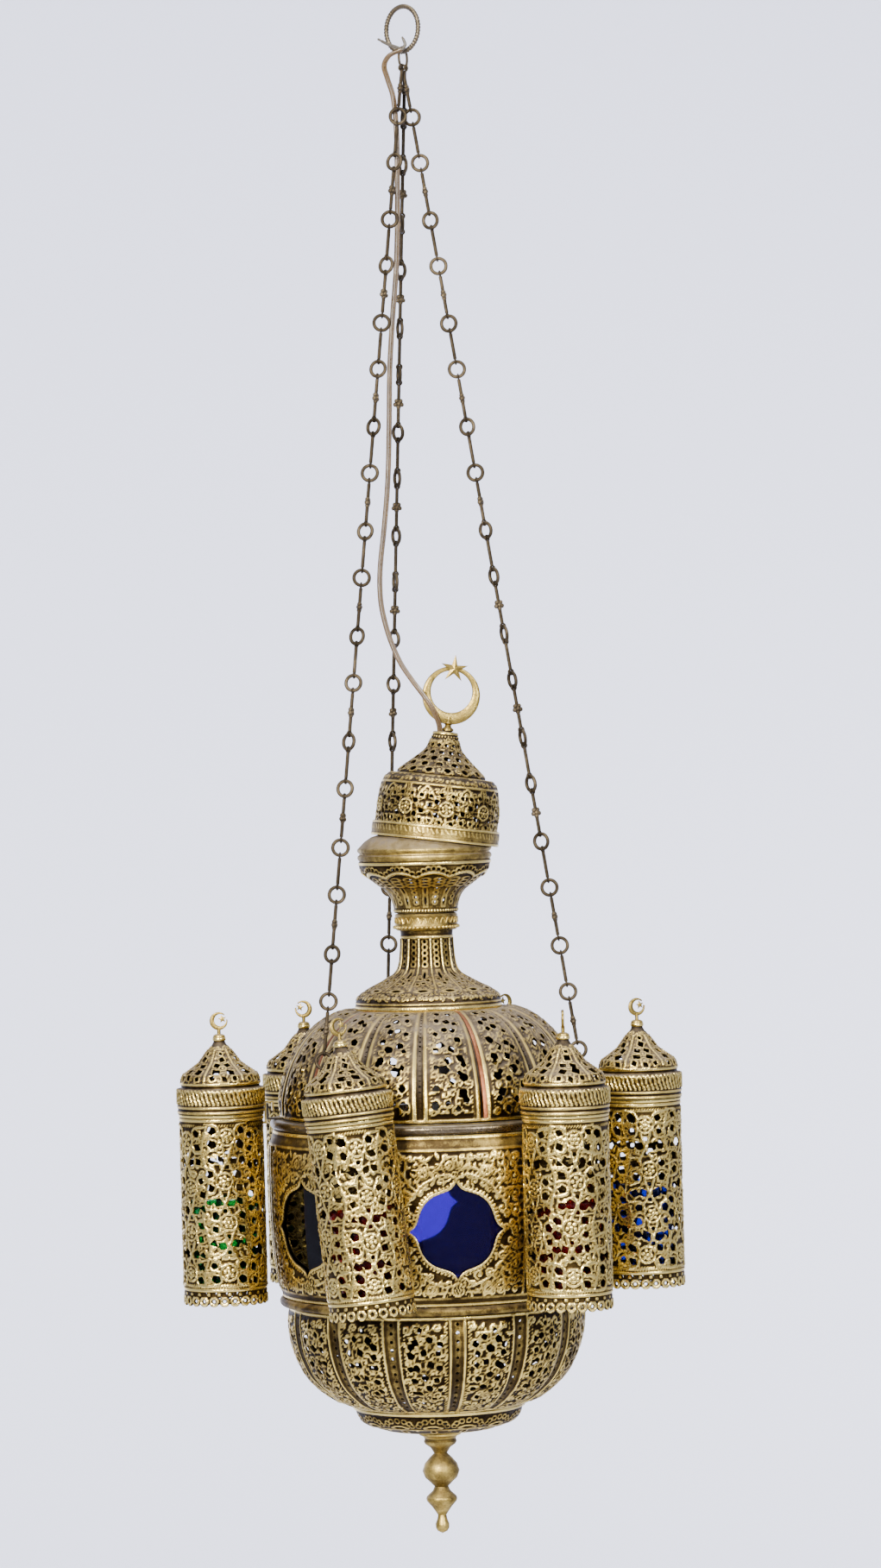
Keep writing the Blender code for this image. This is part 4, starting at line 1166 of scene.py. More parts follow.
def cap_skin(rng):
    wall = [(9.6, 91.0), (12.2, 83.0), (15.4, 75.5), (23.0, 68.0), (35.5, 57.0), (37.5, 53.8), (44.0, 52.6),
            (48.0, 46.0), (50.2, 30.0), (50.6, 2.5)]
    skin = Skin(Profile(wall), 1.0, 1.0)
    ledge = skin.profile.length_at(53.8)
    band_top = skin.profile.length_at(45.0)
    foot = skin.profile.length
    dent(skin, rng, 16, 0.4, 10.0)
    skin.roll(1.2, 1.4, 0.9)
    bead_line(skin, 4.2, 2.6 / skin.squeeze_at(4.2), 1.0, 0.8)
    skin.roll(ledge + 1.5, 1.5, 0.8)
    filigree_band(skin, rng, 6.0, ledge - 3.0, 5.4, 0.8, 0.8)
    for row in range(5):
        s0 = 12.0 + 7.6 * row
        if s0 > ledge - 5:
            break
        count = 14
        for index in range(count):
            share = (index + 0.5 * (row % 2)) / count
            x0 = skin.left + skin.width * share
            room = skin.width / count * skin.squeeze_at(s0)
            size = min(2.5, 0.26 * room)
            skin.hole(x0, s0, size, 0, 0, 0.6, 1.15)
            if size < 1.0:
                continue
            lift = 0.30 * room / skin.squeeze_at(s0)
            for way in (-1, 1):
                skin.stroke(curve((x0 - way * lift, s0 - 3.2), (x0 - way * 0.2 * lift, s0 - 3.8),
                                  (x0 + way * 0.7 * lift, s0 - 1.6), (x0 + way * lift, s0 + 2.2)), 0.8, 0.8)
    filigree_band(skin, rng, ledge + 2.0, band_top - 2.0, 4.4, 0.7, 0.8)
    skin.roll(band_top - 1.5, 1.4, 0.8)
    skin.roll(foot - 2.0, 1.7, 1.3)
    skin.roll(foot - 5.2, 1.0, 0.8)
    middle = (band_top + foot - 5.5) / 2
    half = (foot - 7.5 - band_top - 2.0) / 2
    count = 9
    pitch = skin.width / count

    def off_flower(x, s):
        aside = abs((x - skin.left) / pitch % 1.0 - 0.5) * pitch
        return aside > 8.5 or abs(s - middle) > 8.5

    filigree_band(skin, rng, band_top + 2, foot - 7, 4.8, 0.9, 0.8, off_flower)
    for x0 in skin.spots(count):
        for way in (-1, 1):
            for lift in (-1, 1):
                skin.hole(x0 + way * 8.4, middle + lift * 5.6, 2.5, 4, 45 + way * lift * 18, 0.8, 1.25)
                skin.hole(x0 + way * 13.4, middle + lift * 10.2, 1.9, 4, 45, 0.8, 1.3)
            skin.hole(x0 + way * 4.6, middle + way * 11.6, 2.1, 4, 30, 0.8, 1.2)
            skin.hole(x0 + way * 5.0, middle - way * 11.2, 1.8, 4, 60, 0.8, 1.2)
            skin.hole(x0 + way * 14.0, middle + way * 2.6, 2.5, 4, 40, 0.8, 1.2)
        flower(skin, x0, middle, 6.6, 6, rng.uniform(0, 60))
        for way in (-1, 1):
            for lift in (-1, 1):
                rising = ((5.4, 3.0), (10.0, half * 0.55), (14.0, half * 0.95), (pitch * 0.52, half + 2))
                falling = ((2.2, half + 2), (5.8, half * 0.6), (11.5, 3.4), (pitch * 0.52, -1.0))
                vine(skin, curve(*mirrored(x0, middle, way, lift, rising)), 1.25, 0.9)
                vine(skin, curve(*mirrored(x0, middle, way, lift, falling)), 1.15, 0.8)
            skin.stroke([(x0 + way * 6.0, middle), (x0 + way * pitch * 0.52, middle)], 1.1, 0.7)
        skin.stroke([(x0, middle - half - 2), (x0, middle - 6)], 1.2, 0.8)
        skin.stroke([(x0, middle + half + 2), (x0, middle + 6)], 1.2, 0.8)
        skin.bead(x0 + pitch / 2, middle, 2.2, 1.3)
    return skin


def build_cap(rng):
    seat = placed((8.9, 0.0, -694.2), (0.0, 7.4, 0.0))
    nodes = ("cap_shell",)
    show("cap_pierced", sheet_mesh("cap_pierced", cap_skin(rng)), "cap", "cap", nodes, seat)
    plate = Skin(Profile([(0.7, 91.9), (5.0, 91.7), (9.6, 91.0)]), 0.5, 0.45)
    cord_x, cord_y = -5.2, 3.2
    hole_turn = math.atan2(cord_x, cord_y)
    plate.hole(hole_turn * plate.reference, math.hypot(cord_x, cord_y) - 0.7, 2.8, 0, 0, 0.0)
    show("cap_top_plate", sheet_mesh("cap_top_plate", plate), "cap", "cap", nodes, seat)

    collar = Skin(Profile([(52.6, 12.5), (53.3, 10.0), (53.3, 2.0), (52.9, 0.0)], smooth=False), 0.75, 0.6)
    length = collar.profile.length
    collar.rub_rows(0.0, length, 0.54)
    collar.roll(1.0, 1.0, 0.5)
    collar.roll(length - 1.0, 1.0, 0.5)
    for index, x0 in enumerate(collar.spots(84)):
        lean = 0.3 if index % 3 else 1.2
        collar.stroke([(x0 - lean, 3.4), (x0 + lean, 6.4 + 0.6 * (index % 2))], 0.8, 0.22)
    mesh = sheet_mesh("cap_band", collar, 1.0)
    show("cap_band", mesh, "cap", "cap", ("cap_collar",), seat)

    moon = crescent_solid(24.3, 17.6, 3.2, 7.0, 3.4, 96)
    lift = Vector((1.5, 0.0, 122.0))
    moon.places = [tuple(Vector(place) + lift) for place in moon.places]
    stem = [
        (3.0, 91.6), (5.0, 92.4), (5.0, 94.0), (3.0, 95.4), (2.5, 97.0), (4.1, 98.6), (2.4, 100.4),
        (2.2, 104.0),
    ]
    rings = []
    for radius, height in stem:
        ring = []
        for step in range(20):
            angle = math.tau * step / 20
            ring.append(Vector((1.5 + radius * math.cos(angle), radius * math.sin(angle), height)))
        rings.append(ring)
    moon.grid(rings, 0.6)
    show("crescent_moon", moon.mesh("crescent_moon"), "bright", "cap",
         ("crescent_finial",), seat)

    star = Solid()
    centre = Vector((1.5, -3.2, 144.3))
    star_shape(star, centre, 12.0, 3.9, 0.45, 1.5)
    star.wire([centre + Vector((0, 0.2, -3.0)), centre + Vector((0, 2.6, -3.4))], 1.0, 10, 0.5)
    show("star", star.mesh("star", 20.0), "bright", "cap", ("finial_star",), seat)


# ---------------------------------------------------------------- shoulder, cup, waist and neck


def build_shoulder():
    outer = [(36.0, -687.5), (44.0, -689.6), (50.0, -693.6), (53.6, -697.4), (54.6, -698.4), (55.8, -699.4),
             (56.2, -701.0), (55.6, -702.4), (54.4, -703.4), (54.4, -704.4), (55.8, -705.4), (56.2, -707.0),
             (55.6, -708.4), (54.6, -709.9), (53.2, -709.9), (53.0, -704.0), (52.6, -699.0), (49.4, -695.2),
             (43.6, -691.2), (36.0, -688.9)]
    mesh = turned("shoulder_rims", outer, 120, 0.62)
    show("shoulder_rims", mesh, "shoulder", "lantern", ("cup_shoulder",))


def cup_skin():
    skin = Skin(Profile([(55.0, -710.3), (53.0, -718.0), (44.6, -725.8), (32.2, -735.8), (27.6, -745.0),
                         (26.4, -753.5)]), 0.95, 0.8)
    length = skin.profile.length
    scallops = 11
    pitch = skin.width / scallops
    skin.rub_rows(0.0, length, 0.46)
    skin.roll(1.6, 1.6, 0.9)
    for x0 in skin.spots(scallops):
        for number in range(7):
            share = (number - 3) / 3
            skin.hole(x0 + share * 0.40 * pitch, 6.2 + 4.6 * share**2, 1.5, 0, 0, 0.5)
        crest = curve(
            (x0 - 0.5 * pitch, 15.4),
            (x0 - 0.3 * pitch, 11.8),
            (x0, 9.6),
            (x0 + 0.3 * pitch, 11.8),
            (x0 + 0.5 * pitch, 15.4),
            count=18,
        )
        skin.stroke(crest, 1.9, 1.5)
    for index, x0 in enumerate(skin.spots(22)):
        for row in range(3):
            skin.hole(x0, 18.4 + 4.1 * row, 1.35, 0, 0, 0.5, 2.0)
        if index % 2:
            for row in range(4):
                skin.hole(x0, 31.2 + 4.7 * row, 1.1, 0, 0, 0.3)
        else:
            for row in range(2):
                skin.hole(x0, 33.8 + 10.4 * row, 1.0, 0, 90, 0.3, 3.6)
    bead_line(skin, length - 2.0, 2.6 / skin.squeeze_at(length - 2.0), 1.0, 0.8)
    return skin


def neck_skin(rng):
    skin = Skin(Profile([(22.0, -768.5), (21.3, -780.0), (24.5, -800.6), (36.0, -809.6), (53.0, -818.6),
                         (59.8, -824.5), (59.8, -834.2)]), 1.0, 0.85)
    length = skin.profile.length
    shoulder = skin.profile.length_at(-818.6)
    flare = skin.profile.length_at(-802.0)
    count = 14
    pitch = skin.width / count
    filigree_band(skin, rng, flare + 4, length - 9, 4.6, 0.7, 0.75)
    for x0 in skin.spots(count):
        edge = x0 + pitch / 2
        for row in range(5):
            skin.hole(x0, 9.0 + 4.7 * row, 1.35, 0, 0, 0.3)
        skin.stroke([(edge, 7.0), (edge, flare + 2.0)], 1.1, 1.3)
        skin.hole(x0, flare + 5.0, 1.1, 0, 90, 0.4, 4.2)
        skin.stroke(curve((edge, flare + 2.0), (edge, shoulder - 4.0), count=4), 1.0, 1.0)
        skin.hole(x0, shoulder - 2.4, 1.7, 0, 0, 0.9, 2.3)
        for number in range(8):
            angle = math.radians(10 + 160 * number / 7)
            skin.hole(x0 + 0.37 * pitch * math.cos(angle), shoulder + 0.6 + 3.6 * math.sin(angle), 0.75)
        for x1, s1, size in ((x0 - 0.22 * pitch, flare + 10.5, 1.5), (x0 + 0.2 * pitch, flare + 12.5, 1.6),
                             (x0, flare + 17.0, 1.7), (x0 - 0.28 * pitch, flare + 18.5, 1.5)):
            skin.hole(x1, s1, size, 4, rng.uniform(20, 70), 0.8, 1.3)
    skin.roll(length - 2.4, 2.4, 1.5)
    skin.roll(length - 6.2, 1.2, 0.8)
    skin.roll(5.2, 1.1, 0.9)
    return skin


def build_waist():
    section = [
        (23.0, -753.8), (25.4, -754.4), (26.2, -756.0), (25.6, -757.4), (25.8, -762.4), (26.6, -764.2),
        (26.2, -766.6), (24.6, -768.1), (22.2, -768.2), (22.2, -760.0), (22.4, -753.8),
    ]
    solid = Solid()
    rings = []
    for index in range(96):
        ring = []
        for radius, height in section:
            ring.append(around(radius, 360 * index / 96, height))
        rings.append(ring)
    solid.grid(rings, 0.5, loop=True)
    for index in range(30):
        turn = 360 * index / 30
        arch = []
        for step in range(9):
            share = step / 8
            arch.append(around(26.1, turn + 9.6 * (share - 0.5), -762.0 + 4.4 * math.sin(math.pi * share)))
        solid.wire(arch, 0.55, 6, 0.75)
    for index in range(46):
        solid.ball(around(26.7, 360 * index / 46, -765.4), 1.45, 0.8, 6, 8)
    show("waist_ring", solid.mesh("waist_ring"), "cup", "lantern", ("waist_bead",))


def build_cup_and_neck(rng):
    mesh = sheet_mesh("cup_pierced", cup_skin())
    show("cup_pierced", mesh, "cup", "lantern", ("cup",))
    mesh = sheet_mesh("neck_pierced", neck_skin(rng))
    show("neck_pierced", mesh, "neck", "lantern", ("neck",))
    build_shoulder()
    build_waist()


# ---------------------------------------------------------------- globe


def lobes(skin, count, depth):
    """Gadroons: the sheet swells between one rib and the next."""
    pitch = skin.width / count
    share = ((skin.x - skin.left) / pitch) % 1.0
    fade = np.clip(skin.rows / 14.0, 0, 1) * np.clip((skin.rows[-1] - skin.rows) / 14.0, 0, 1)
    skin.form += depth * np.sqrt(np.clip(np.sin(math.pi * share), 0, 1))[None, :] * fade[:, None]


PANEL_HOLES = (
    (-6, 12, 2.0), (7, 14, 2.0), (-9, 22, 1.8), (3, 24, 2.6), (11, 28, 1.9), (-2, 34, 2.3), (6, 36, 2.3),
    (-11, 38, 1.8), (10, 47, 2.4), (-7, 51, 2.3), (3, 54, 2.4), (-2, 64, 2.6), (10, 63, 2.4),
    (-6, 74, 2.8), (8, 76, 1.6), (14, 80, 2.6), (-12, 88, 2.3), (9, 92, 3.2), (17, 98, 2.2),
    (-4, 100, 2.0), (-15, 70, 1.6), (1, 83, 2.2), (-13, 103, 2.4), (5, 106, 2.0), (-14, 56, 1.8),
    (15, 68, 2.0),
)


def gadroon_panel(skin, rng, x0, half, top, bottom, flip, holes, rings):
    """Embossed and pierced ornament of one swelling panel."""
    filigree(skin, rng, x0 - half, x0 + half, top + 1, bottom - 1, 7.0, anywhere, 1.05, 1.1)
    for x, s, radius in holes:
        s0 = top + (s / 112.0) * (bottom - top) + rng.uniform(-1.2, 1.2)
        squeeze = skin.squeeze_at(s0)
        if not top + 2 < s0 < bottom - 2 or abs(x) > half - 4:
            x = math.copysign(max(half - 5.5, 0), x)
        x1 = x0 + flip * x + rng.uniform(-0.8, 0.8)
        size = 1.55 * radius * min(1.0, 0.40 + 0.60 * squeeze)
        skin.hole(x1, s0, size, int(rng.integers(4, 6)), rng.uniform(0, 90), 0.9, rng.uniform(0.85, 1.4))
    for x, share, radius in rings:
        s0 = top + share * (bottom - top)
        squeeze = skin.squeeze_at(s0)
        if (half - abs(x)) * squeeze < radius + 1:
            continue
        x1 = x0 + flip * x
        skin.ring(x1, s0, radius, 1.1, 0.9)
        skin.bead(x1, s0, radius * 0.42, 1.2)
        for way in (-1, 1):
            for lift in (-1, 1):
                line = scroll(0, 0, radius * 1.45, 180 * (way < 0) + 40 * lift * way, 250 * way * lift)
                x2, s2 = way * radius * 1.55, s0 + lift * radius * 0.9
                points = [(x1 + (x2 + px * 0.8) / squeeze, s2 + ps * 0.8) for px, ps in line]
                skin.stroke(points, 0.8, 0.8)
    for way in (-1, 1):
        edge = x0 + way * (half - 0.8)
        skin.beads([(edge, top + 3), (edge, bottom - 3)], 0.85, 0.9, 2.6)


DOME_RINGS = ((0, 0.19, 3.2), (3, 0.42, 4.0), (2, 0.71, 4.6), (-9, 0.60, 3.4))


def dome_profile():
    points = []
    for step in range(19):
        share = math.radians(90 * step / 18)
        points.append((60.0 + 65.2 * math.sin(share), -834.5 - 86.8 * (1 - math.cos(share))))
    return Profile(points)


def dome_skin(rng):
    skin = Skin(dome_profile(), 1.5, 1.4)
    length = skin.profile.length
    count = 15
    pitch = skin.width / count
    lobes(skin, count, 2.2)
    dent(skin, rng, 50, 0.5, 16.0)
    for index in range(count):
        x0 = skin.left + pitch * index
        for row in range(int((length - 10) / 4.4)):
            s0 = 6.0 + 4.4 * row
            skin.hole(x0, s0, 1.15, 4, 45.0)
        for way in (-1, 1):
            skin.stroke([(x0 + way * 4.8, 3.0), (x0 + way * 4.8, length - 3.0)], 2.2, 0.9)
            skin.stroke([(x0 + way * 7.8, 3.0), (x0 + way * 7.8, length - 3.0)], 0.9, 0.5)
        skin.rub(x0, 4.0, 3.0, length - 3.0, 0.47)
        flip = 1 if index % 2 else -1
        gadroon_panel(
            skin, rng, x0 + pitch / 2, pitch / 2 - 9.0, 6.0, length - 5.0, flip, PANEL_HOLES, DOME_RINGS
        )
    skin.roll(1.4, 1.4, 0.9)
    skin.roll(length - 1.6, 1.6, 0.9)
    return skin


def build_strips():
    """Copper strips soldered over two of the dome's ribs."""
    profile = dome_profile()
    for name, turn in (("copper_strip_1", 12.7), ("copper_strip_2", -59.3)):
        solid = Solid()
        rings = []
        for step in range(31):
            radius, height, out, up = profile.at(3.5 + (profile.length - 7.0) * step / 30)
            ring = []
            for across, lift in ((-2.0, 0.2), (-1.8, 1.5), (0.0, 1.8), (1.8, 1.5), (2.0, 0.2)):
                spread = math.degrees(across / radius)
                ring.append(around(radius + out * lift, turn + spread, height + up * lift))
            rings.append(ring)
        solid.grid(rings, 0.6)
        show(name, solid.mesh(name), "copper", "lantern", ("dome",))


def rolled(name, top, bottom, radius, inner, material, nodes):
    """Rolled edge: a half-round outer side and a flat top and bottom."""
    middle, half = (top + bottom) / 2, (top - bottom) / 2
    section = [(inner, top), (radius - half * 1.2, top)]
    for step in range(1, 12):
        angle = math.radians(90 - 180 * step / 12)
        section.append((radius - half + half * math.cos(angle), middle + half * math.sin(angle)))
    section += [(radius - half * 1.2, bottom), (inner, bottom)]
    mesh = turned(name, section, 180, 0.48)
    show(name, mesh, material, "lantern", nodes)


def window_reach(angle):
    near = np.abs((np.degrees(angle) + 45.0) % 90.0 - 45.0)
    tip = 7.8 * np.exp(-near / 6.0)
    return 31.8 + tip + 2.2 * np.sin(np.radians(2 * near)) ** 2


def window_line(offset, count=120):
    line = []
    for step in range(count + 1):
        angle = math.tau * step / count
        reach = float(window_reach(angle)) + offset
        line.append((reach * math.cos(angle), reach * math.sin(angle)))
    return line


DRUM_BRANCHES = (
    ((8, 46), (12, 55), (4, 60)),
    ((19, 43), (24, 55), (32, 60)),
    ((33, 33), (41, 42), (41, 60)),
    ((36, 29), (46, 34), (59, 33)),
)
DRUM_LEAVES = (
    (14, 50.5, 20), (24, 47, -40), (33, 41, 50), (42, 31, -30), (43, 46, 70), (10, 57, 80), (28, 56, 10),
)


def drum_skin(rng):
    wall = [
        (131.8, -930.3), (135.8, -946.0), (136.1, -975.0), (135.9, -1003.0), (134.0, -1031.0),
        (131.0, -1055.0), (126.7, -1069.7),
    ]
    skin = Skin(Profile(wall), 1.15, 1.15, sweep=60.0)
    length = skin.profile.length
    centre = skin.profile.length_at(-1006.6)
    side = skin.width / 2
    dent(skin, rng, 12, 0.5, 18.0)
    low, high = 14.0, length - 10.0

    def outside_window(x, s):
        return math.hypot(x, s - centre) > window_reach(math.atan2(s - centre, x)) + 6.0 and abs(x) < 56

    filigree(skin, rng, -side, side, low + 1, high, 6.6, outside_window, 1.0, 1.0)

    for way in (-1, 1):
        for x0, radius in ((59.0, 1.0), (65.0, 1.0)):
            skin.stroke([(way * x0, low - 1), (way * x0, high + 1)], 1.4, 0.6)
            skin.beads([(way * x0, low), (way * x0, high)], radius, 1.2, 2.7)
        for row in range(int((high - low) / 14.0)):
            s0 = low + 7.0 + 14.0 * row
            skin.ring(way * 50.5, s0, 4.0, 1.1, 0.9)
            skin.bead(way * 50.5, s0, 1.9, 1.4)
            dip = 3 if row % 2 else -3
            for line, count, rise in (
                (((50.5, 4.0), (53.5, 7.0), (50.5, 10.0)), 6, 0.8),
                (((54.0, 0.0), (59.0, 2.0)), 4, 0.7),
                (((46.5, 0.0), (42.0, dip), (37.0, 0.0)), 6, 0.8),
                (((54.5, 7.0), (59.0, 7.0)), 3, 0.7),
            ):
                vine(skin, curve(*mirrored(0, s0, way, 1, line), count=count), 1.1, rise)

    skin.stroke([(x, centre + s) for x, s in window_line(1.2)], 1.2, 0.9)
    skin.beads([(x, centre + s) for x, s in window_line(3.6)], 1.3, 0.9, 3.4)

    for lift, x_bases in ((-1, (-27, 25)), (1, (-22, 26))):
        for x0 in x_bases:
            s0 = centre + lift * 47.5
            if not low + 5 < s0 < high - 4:
                s0 = low + 6.5 if lift < 0 else high - 6.5
            skin.ring(x0, s0, 5.0, 1.2, 0.9)
            flower(skin, x0, s0, 3.8, 5, rng.uniform(0, 72), beaded=False)
        for way in (-1, 1):
            s_far = low + 5.0 if lift < 0 else high - 5.0
            for radius, x0, s0, start, sweep in (
                (7.5, 13.0, centre + lift * 45.0, 0, 300), (6.5, 37.5, s_far - lift * 5, 180, -300),
                (5.5, 43.0, centre + lift * 24.0, 90, 280), (6.0, 39.0, centre + lift * 31.0, 200, 300),
                (5.5, 27.0, centre + lift * 37.5, 60, -290), (5.0, 5.5, centre + lift * 52.0, 90, 280),
            ):
                line = [(x0 + x, s) for x, s in scroll(0, 0, radius, start, sweep)]
                vine(skin, mirrored(0, s0, way, lift, line), 1.1, 0.9)
            stem = ((0, 42.0), (9, 46), (18, 43), (28, 38), (36, 28), (46, 18))
            vine(skin, curve(*mirrored(0, centre, way, lift, stem)), 1.25, 1.0, True)
            for branch in DRUM_BRANCHES:
                vine(skin, curve(*mirrored(0, centre, way, lift, branch)), 1.1, 0.9)
            for x0, s0, lean in DRUM_LEAVES:
                skin.leaf(way * x0, centre + lift * s0, way * lean, 8.5, 3.6, 0.9)
    for lean in (-56, -28, 0, 28, 56):
        angle = math.radians(lean - 90)
        skin.leaf(
            8.0 * math.cos(angle), centre - 46.5 + 7.0 * math.sin(angle) * 1.1, lean - 90, 11.0, 4.4, 1.1
        )
    flower(skin, 0.0, centre + 48.5, 5.4, 6)
    skin.smooth_rows(0.0, low - 1.5)
    skin.smooth_rows(high + 1.5, length)
    skin.rub_rows(0.0, low - 1.0, 0.42)
    skin.rub_rows(high + 1.0, length, 0.42)
    skin.roll(1.6, 1.5, 0.5)
    skin.roll(low - 1.8, 0.9, 0.35)
    skin.roll(high + 2.4, 0.9, 0.35)
    skin.roll(length - 1.6, 1.5, 0.5)
    skin.cut_window(centre)
    return skin


BOWL_HOLES = (
    (-5, 16, 2.0), (7, 18, 2.2), (0, 27, 2.4), (11, 31, 2.1), (-11, 30, 2.0), (-4, 40, 2.3),
    (8, 43, 2.0), (1, 53, 2.3), (-9, 55, 2.0), (10, 57, 2.2), (-3, 66, 2.1), (6, 71, 2.0), (-6, 80, 1.9),
    (4, 88, 1.7), (0, 99, 1.5), (-13, 20, 2.0), (14, 22, 2.2), (-14, 42, 2.0), (15, 44, 2.1),
    (-12, 68, 1.8), (12, 70, 1.8), (3, 8, 1.8),
)
BOWL_RINGS = ((0, 0.14, 4.6), (-5, 0.36, 4.8), (5, 0.52, 4.2), (0, 0.70, 3.8), (-1, 0.86, 3.0))


def bowl_skin(rng):
    wall = [
        (121.9, -1077.3),
        (121.6, -1090.0),
        (118.4, -1111.7),
        (108.0, -1134.7),
        (91.4, -1150.6),
        (72.0, -1162.0),
    ]
    skin = Skin(Profile(wall), 1.5, 1.4)
    length = skin.profile.length
    count = 14
    pitch = skin.width / count
    lobes(skin, count, 2.4)
    dent(skin, rng, 50, 0.5, 16.0)
    for index in range(count):
        x0 = skin.left + pitch * index
        for row in range(int((length - 12) / 7.0)):
            skin.hole(x0, 7.0 + 7.0 * row, 1.6)
        for way in (-1, 1):
            skin.stroke([(x0 + way * 6.6, 3.0), (x0 + way * 6.6, length - 3.0)], 0.9, 0.9)
            skin.beads([(x0 + way * 8.8, 3.0), (x0 + way * 8.8, length - 3.0)], 0.8, 0.8, 2.3)
        skin.rub(x0, 6.0, 3.0, length - 3.0, 0.50)
        flip = 1 if index % 2 else -1
        gadroon_panel(
            skin, rng, x0 + pitch / 2, pitch / 2 - 10.0, 5.0, length - 4.0, flip, BOWL_HOLES, BOWL_RINGS
        )
    skin.roll(1.5, 1.5, 1.0)
    skin.roll(length - 1.5, 1.5, 1.0)
    return skin


def step_skin():
    wall = [
        (72.0, -1162.4), (69.8, -1166.0), (64.8, -1175.0), (52.0, -1180.6), (36.0, -1183.7),
        (24.0, -1184.6), (12.0, -1185.2),
    ]
    skin = Skin(Profile(wall), 1.0, 0.9)
    count = 14
    pitch = skin.width / count
    for x0 in skin.spots(count):
        for number in range(7):
            angle = math.radians(180 * number / 6)
            skin.hole(x0 + 0.40 * pitch * math.cos(angle), 13.0 - 5.0 * math.sin(angle), 1.3, 0, 0, 0.5)
        skin.hole(x0, 15.5, 1.6, 0, 0, 0.7, 2.8)
        skin.hole(x0, 25.0, 1.6, 0, 90, 0.6, 2.4)
        skin.bead(x0 + pitch / 2, 21.0, 1.8, 1.0)
    skin.roll(2.0, 1.8, 1.2)
    skin.roll(19.0, 1.1, 0.8)
    skin.roll(34.0, 1.3, 0.9)
    return skin


def build_globe(rng):
    mesh = sheet_mesh("dome_pierced", dome_skin(rng))
    show("dome_pierced", mesh, "dome", "lantern", ("dome",))
    build_strips()
    rolled("roll_upper", -921.6, -930.0, 134.6, 122.0, "flange", ("upper_flange",))
    rolled("roll_lower", -1070.0, -1077.0, 130.3, 117.0, "lower_roll", ("lower_flange",))
    mesh = sheet_mesh("drum_panel", drum_skin(rng))
    for index in range(6):
        place = Matrix.Rotation(math.radians(60 * index), 4, "Z")
        show(f"drum_panel_{index + 1}", mesh, "drum", "lantern", ("drum",), place)
    mesh = sheet_mesh("bowl_pierced", bowl_skin(rng))
    show("bowl_pierced", mesh, "bowl", "lantern", ("bowl",))
    mesh = sheet_mesh("bowl_step", step_skin())
    show("bowl_step", mesh, "bowl", "lantern", ("bowl",))
    boss = [
        (0.0, -1185.6), (16.8, -1185.8), (18.0, -1187.4), (17.4, -1189.0), (14.4, -1190.2),
        (13.2, -1192.0), (0.0, -1192.3),
    ]
    show("boss_turned", turned("boss_turned", boss, 72), "bowl", "lantern", ("bowl_boss",))
    top = -1192.6
    shape = [
        (0.0, 0.0), (13.0, 0.0), (13.8, -2.0), (12.8, -4.2), (8.4, -7.2), (5.5, -12.0), (9.6, -16.0),
        (13.5, -20.6), (15.5, -26.7), (13.5, -32.2), (9.4, -36.0), (5.8, -39.8), (7.4, -43.4),
        (12.4, -48.0), (13.0, -50.0), (12.4, -52.0), (8.0, -57.0), (3.6, -63.6), (4.2, -67.0),
        (5.8, -71.0), (5.6, -74.4), (4.2, -77.0), (0.0, -79.0),
    ]
    section = [(r, top + z) for r, z in shape]
    show("pendant_turned", turned("pendant_turned", section, 72, 0.58), "pendant", "lantern",
         ("pendant_finial",))


# ---------------------------------------------------------------- small lanterns


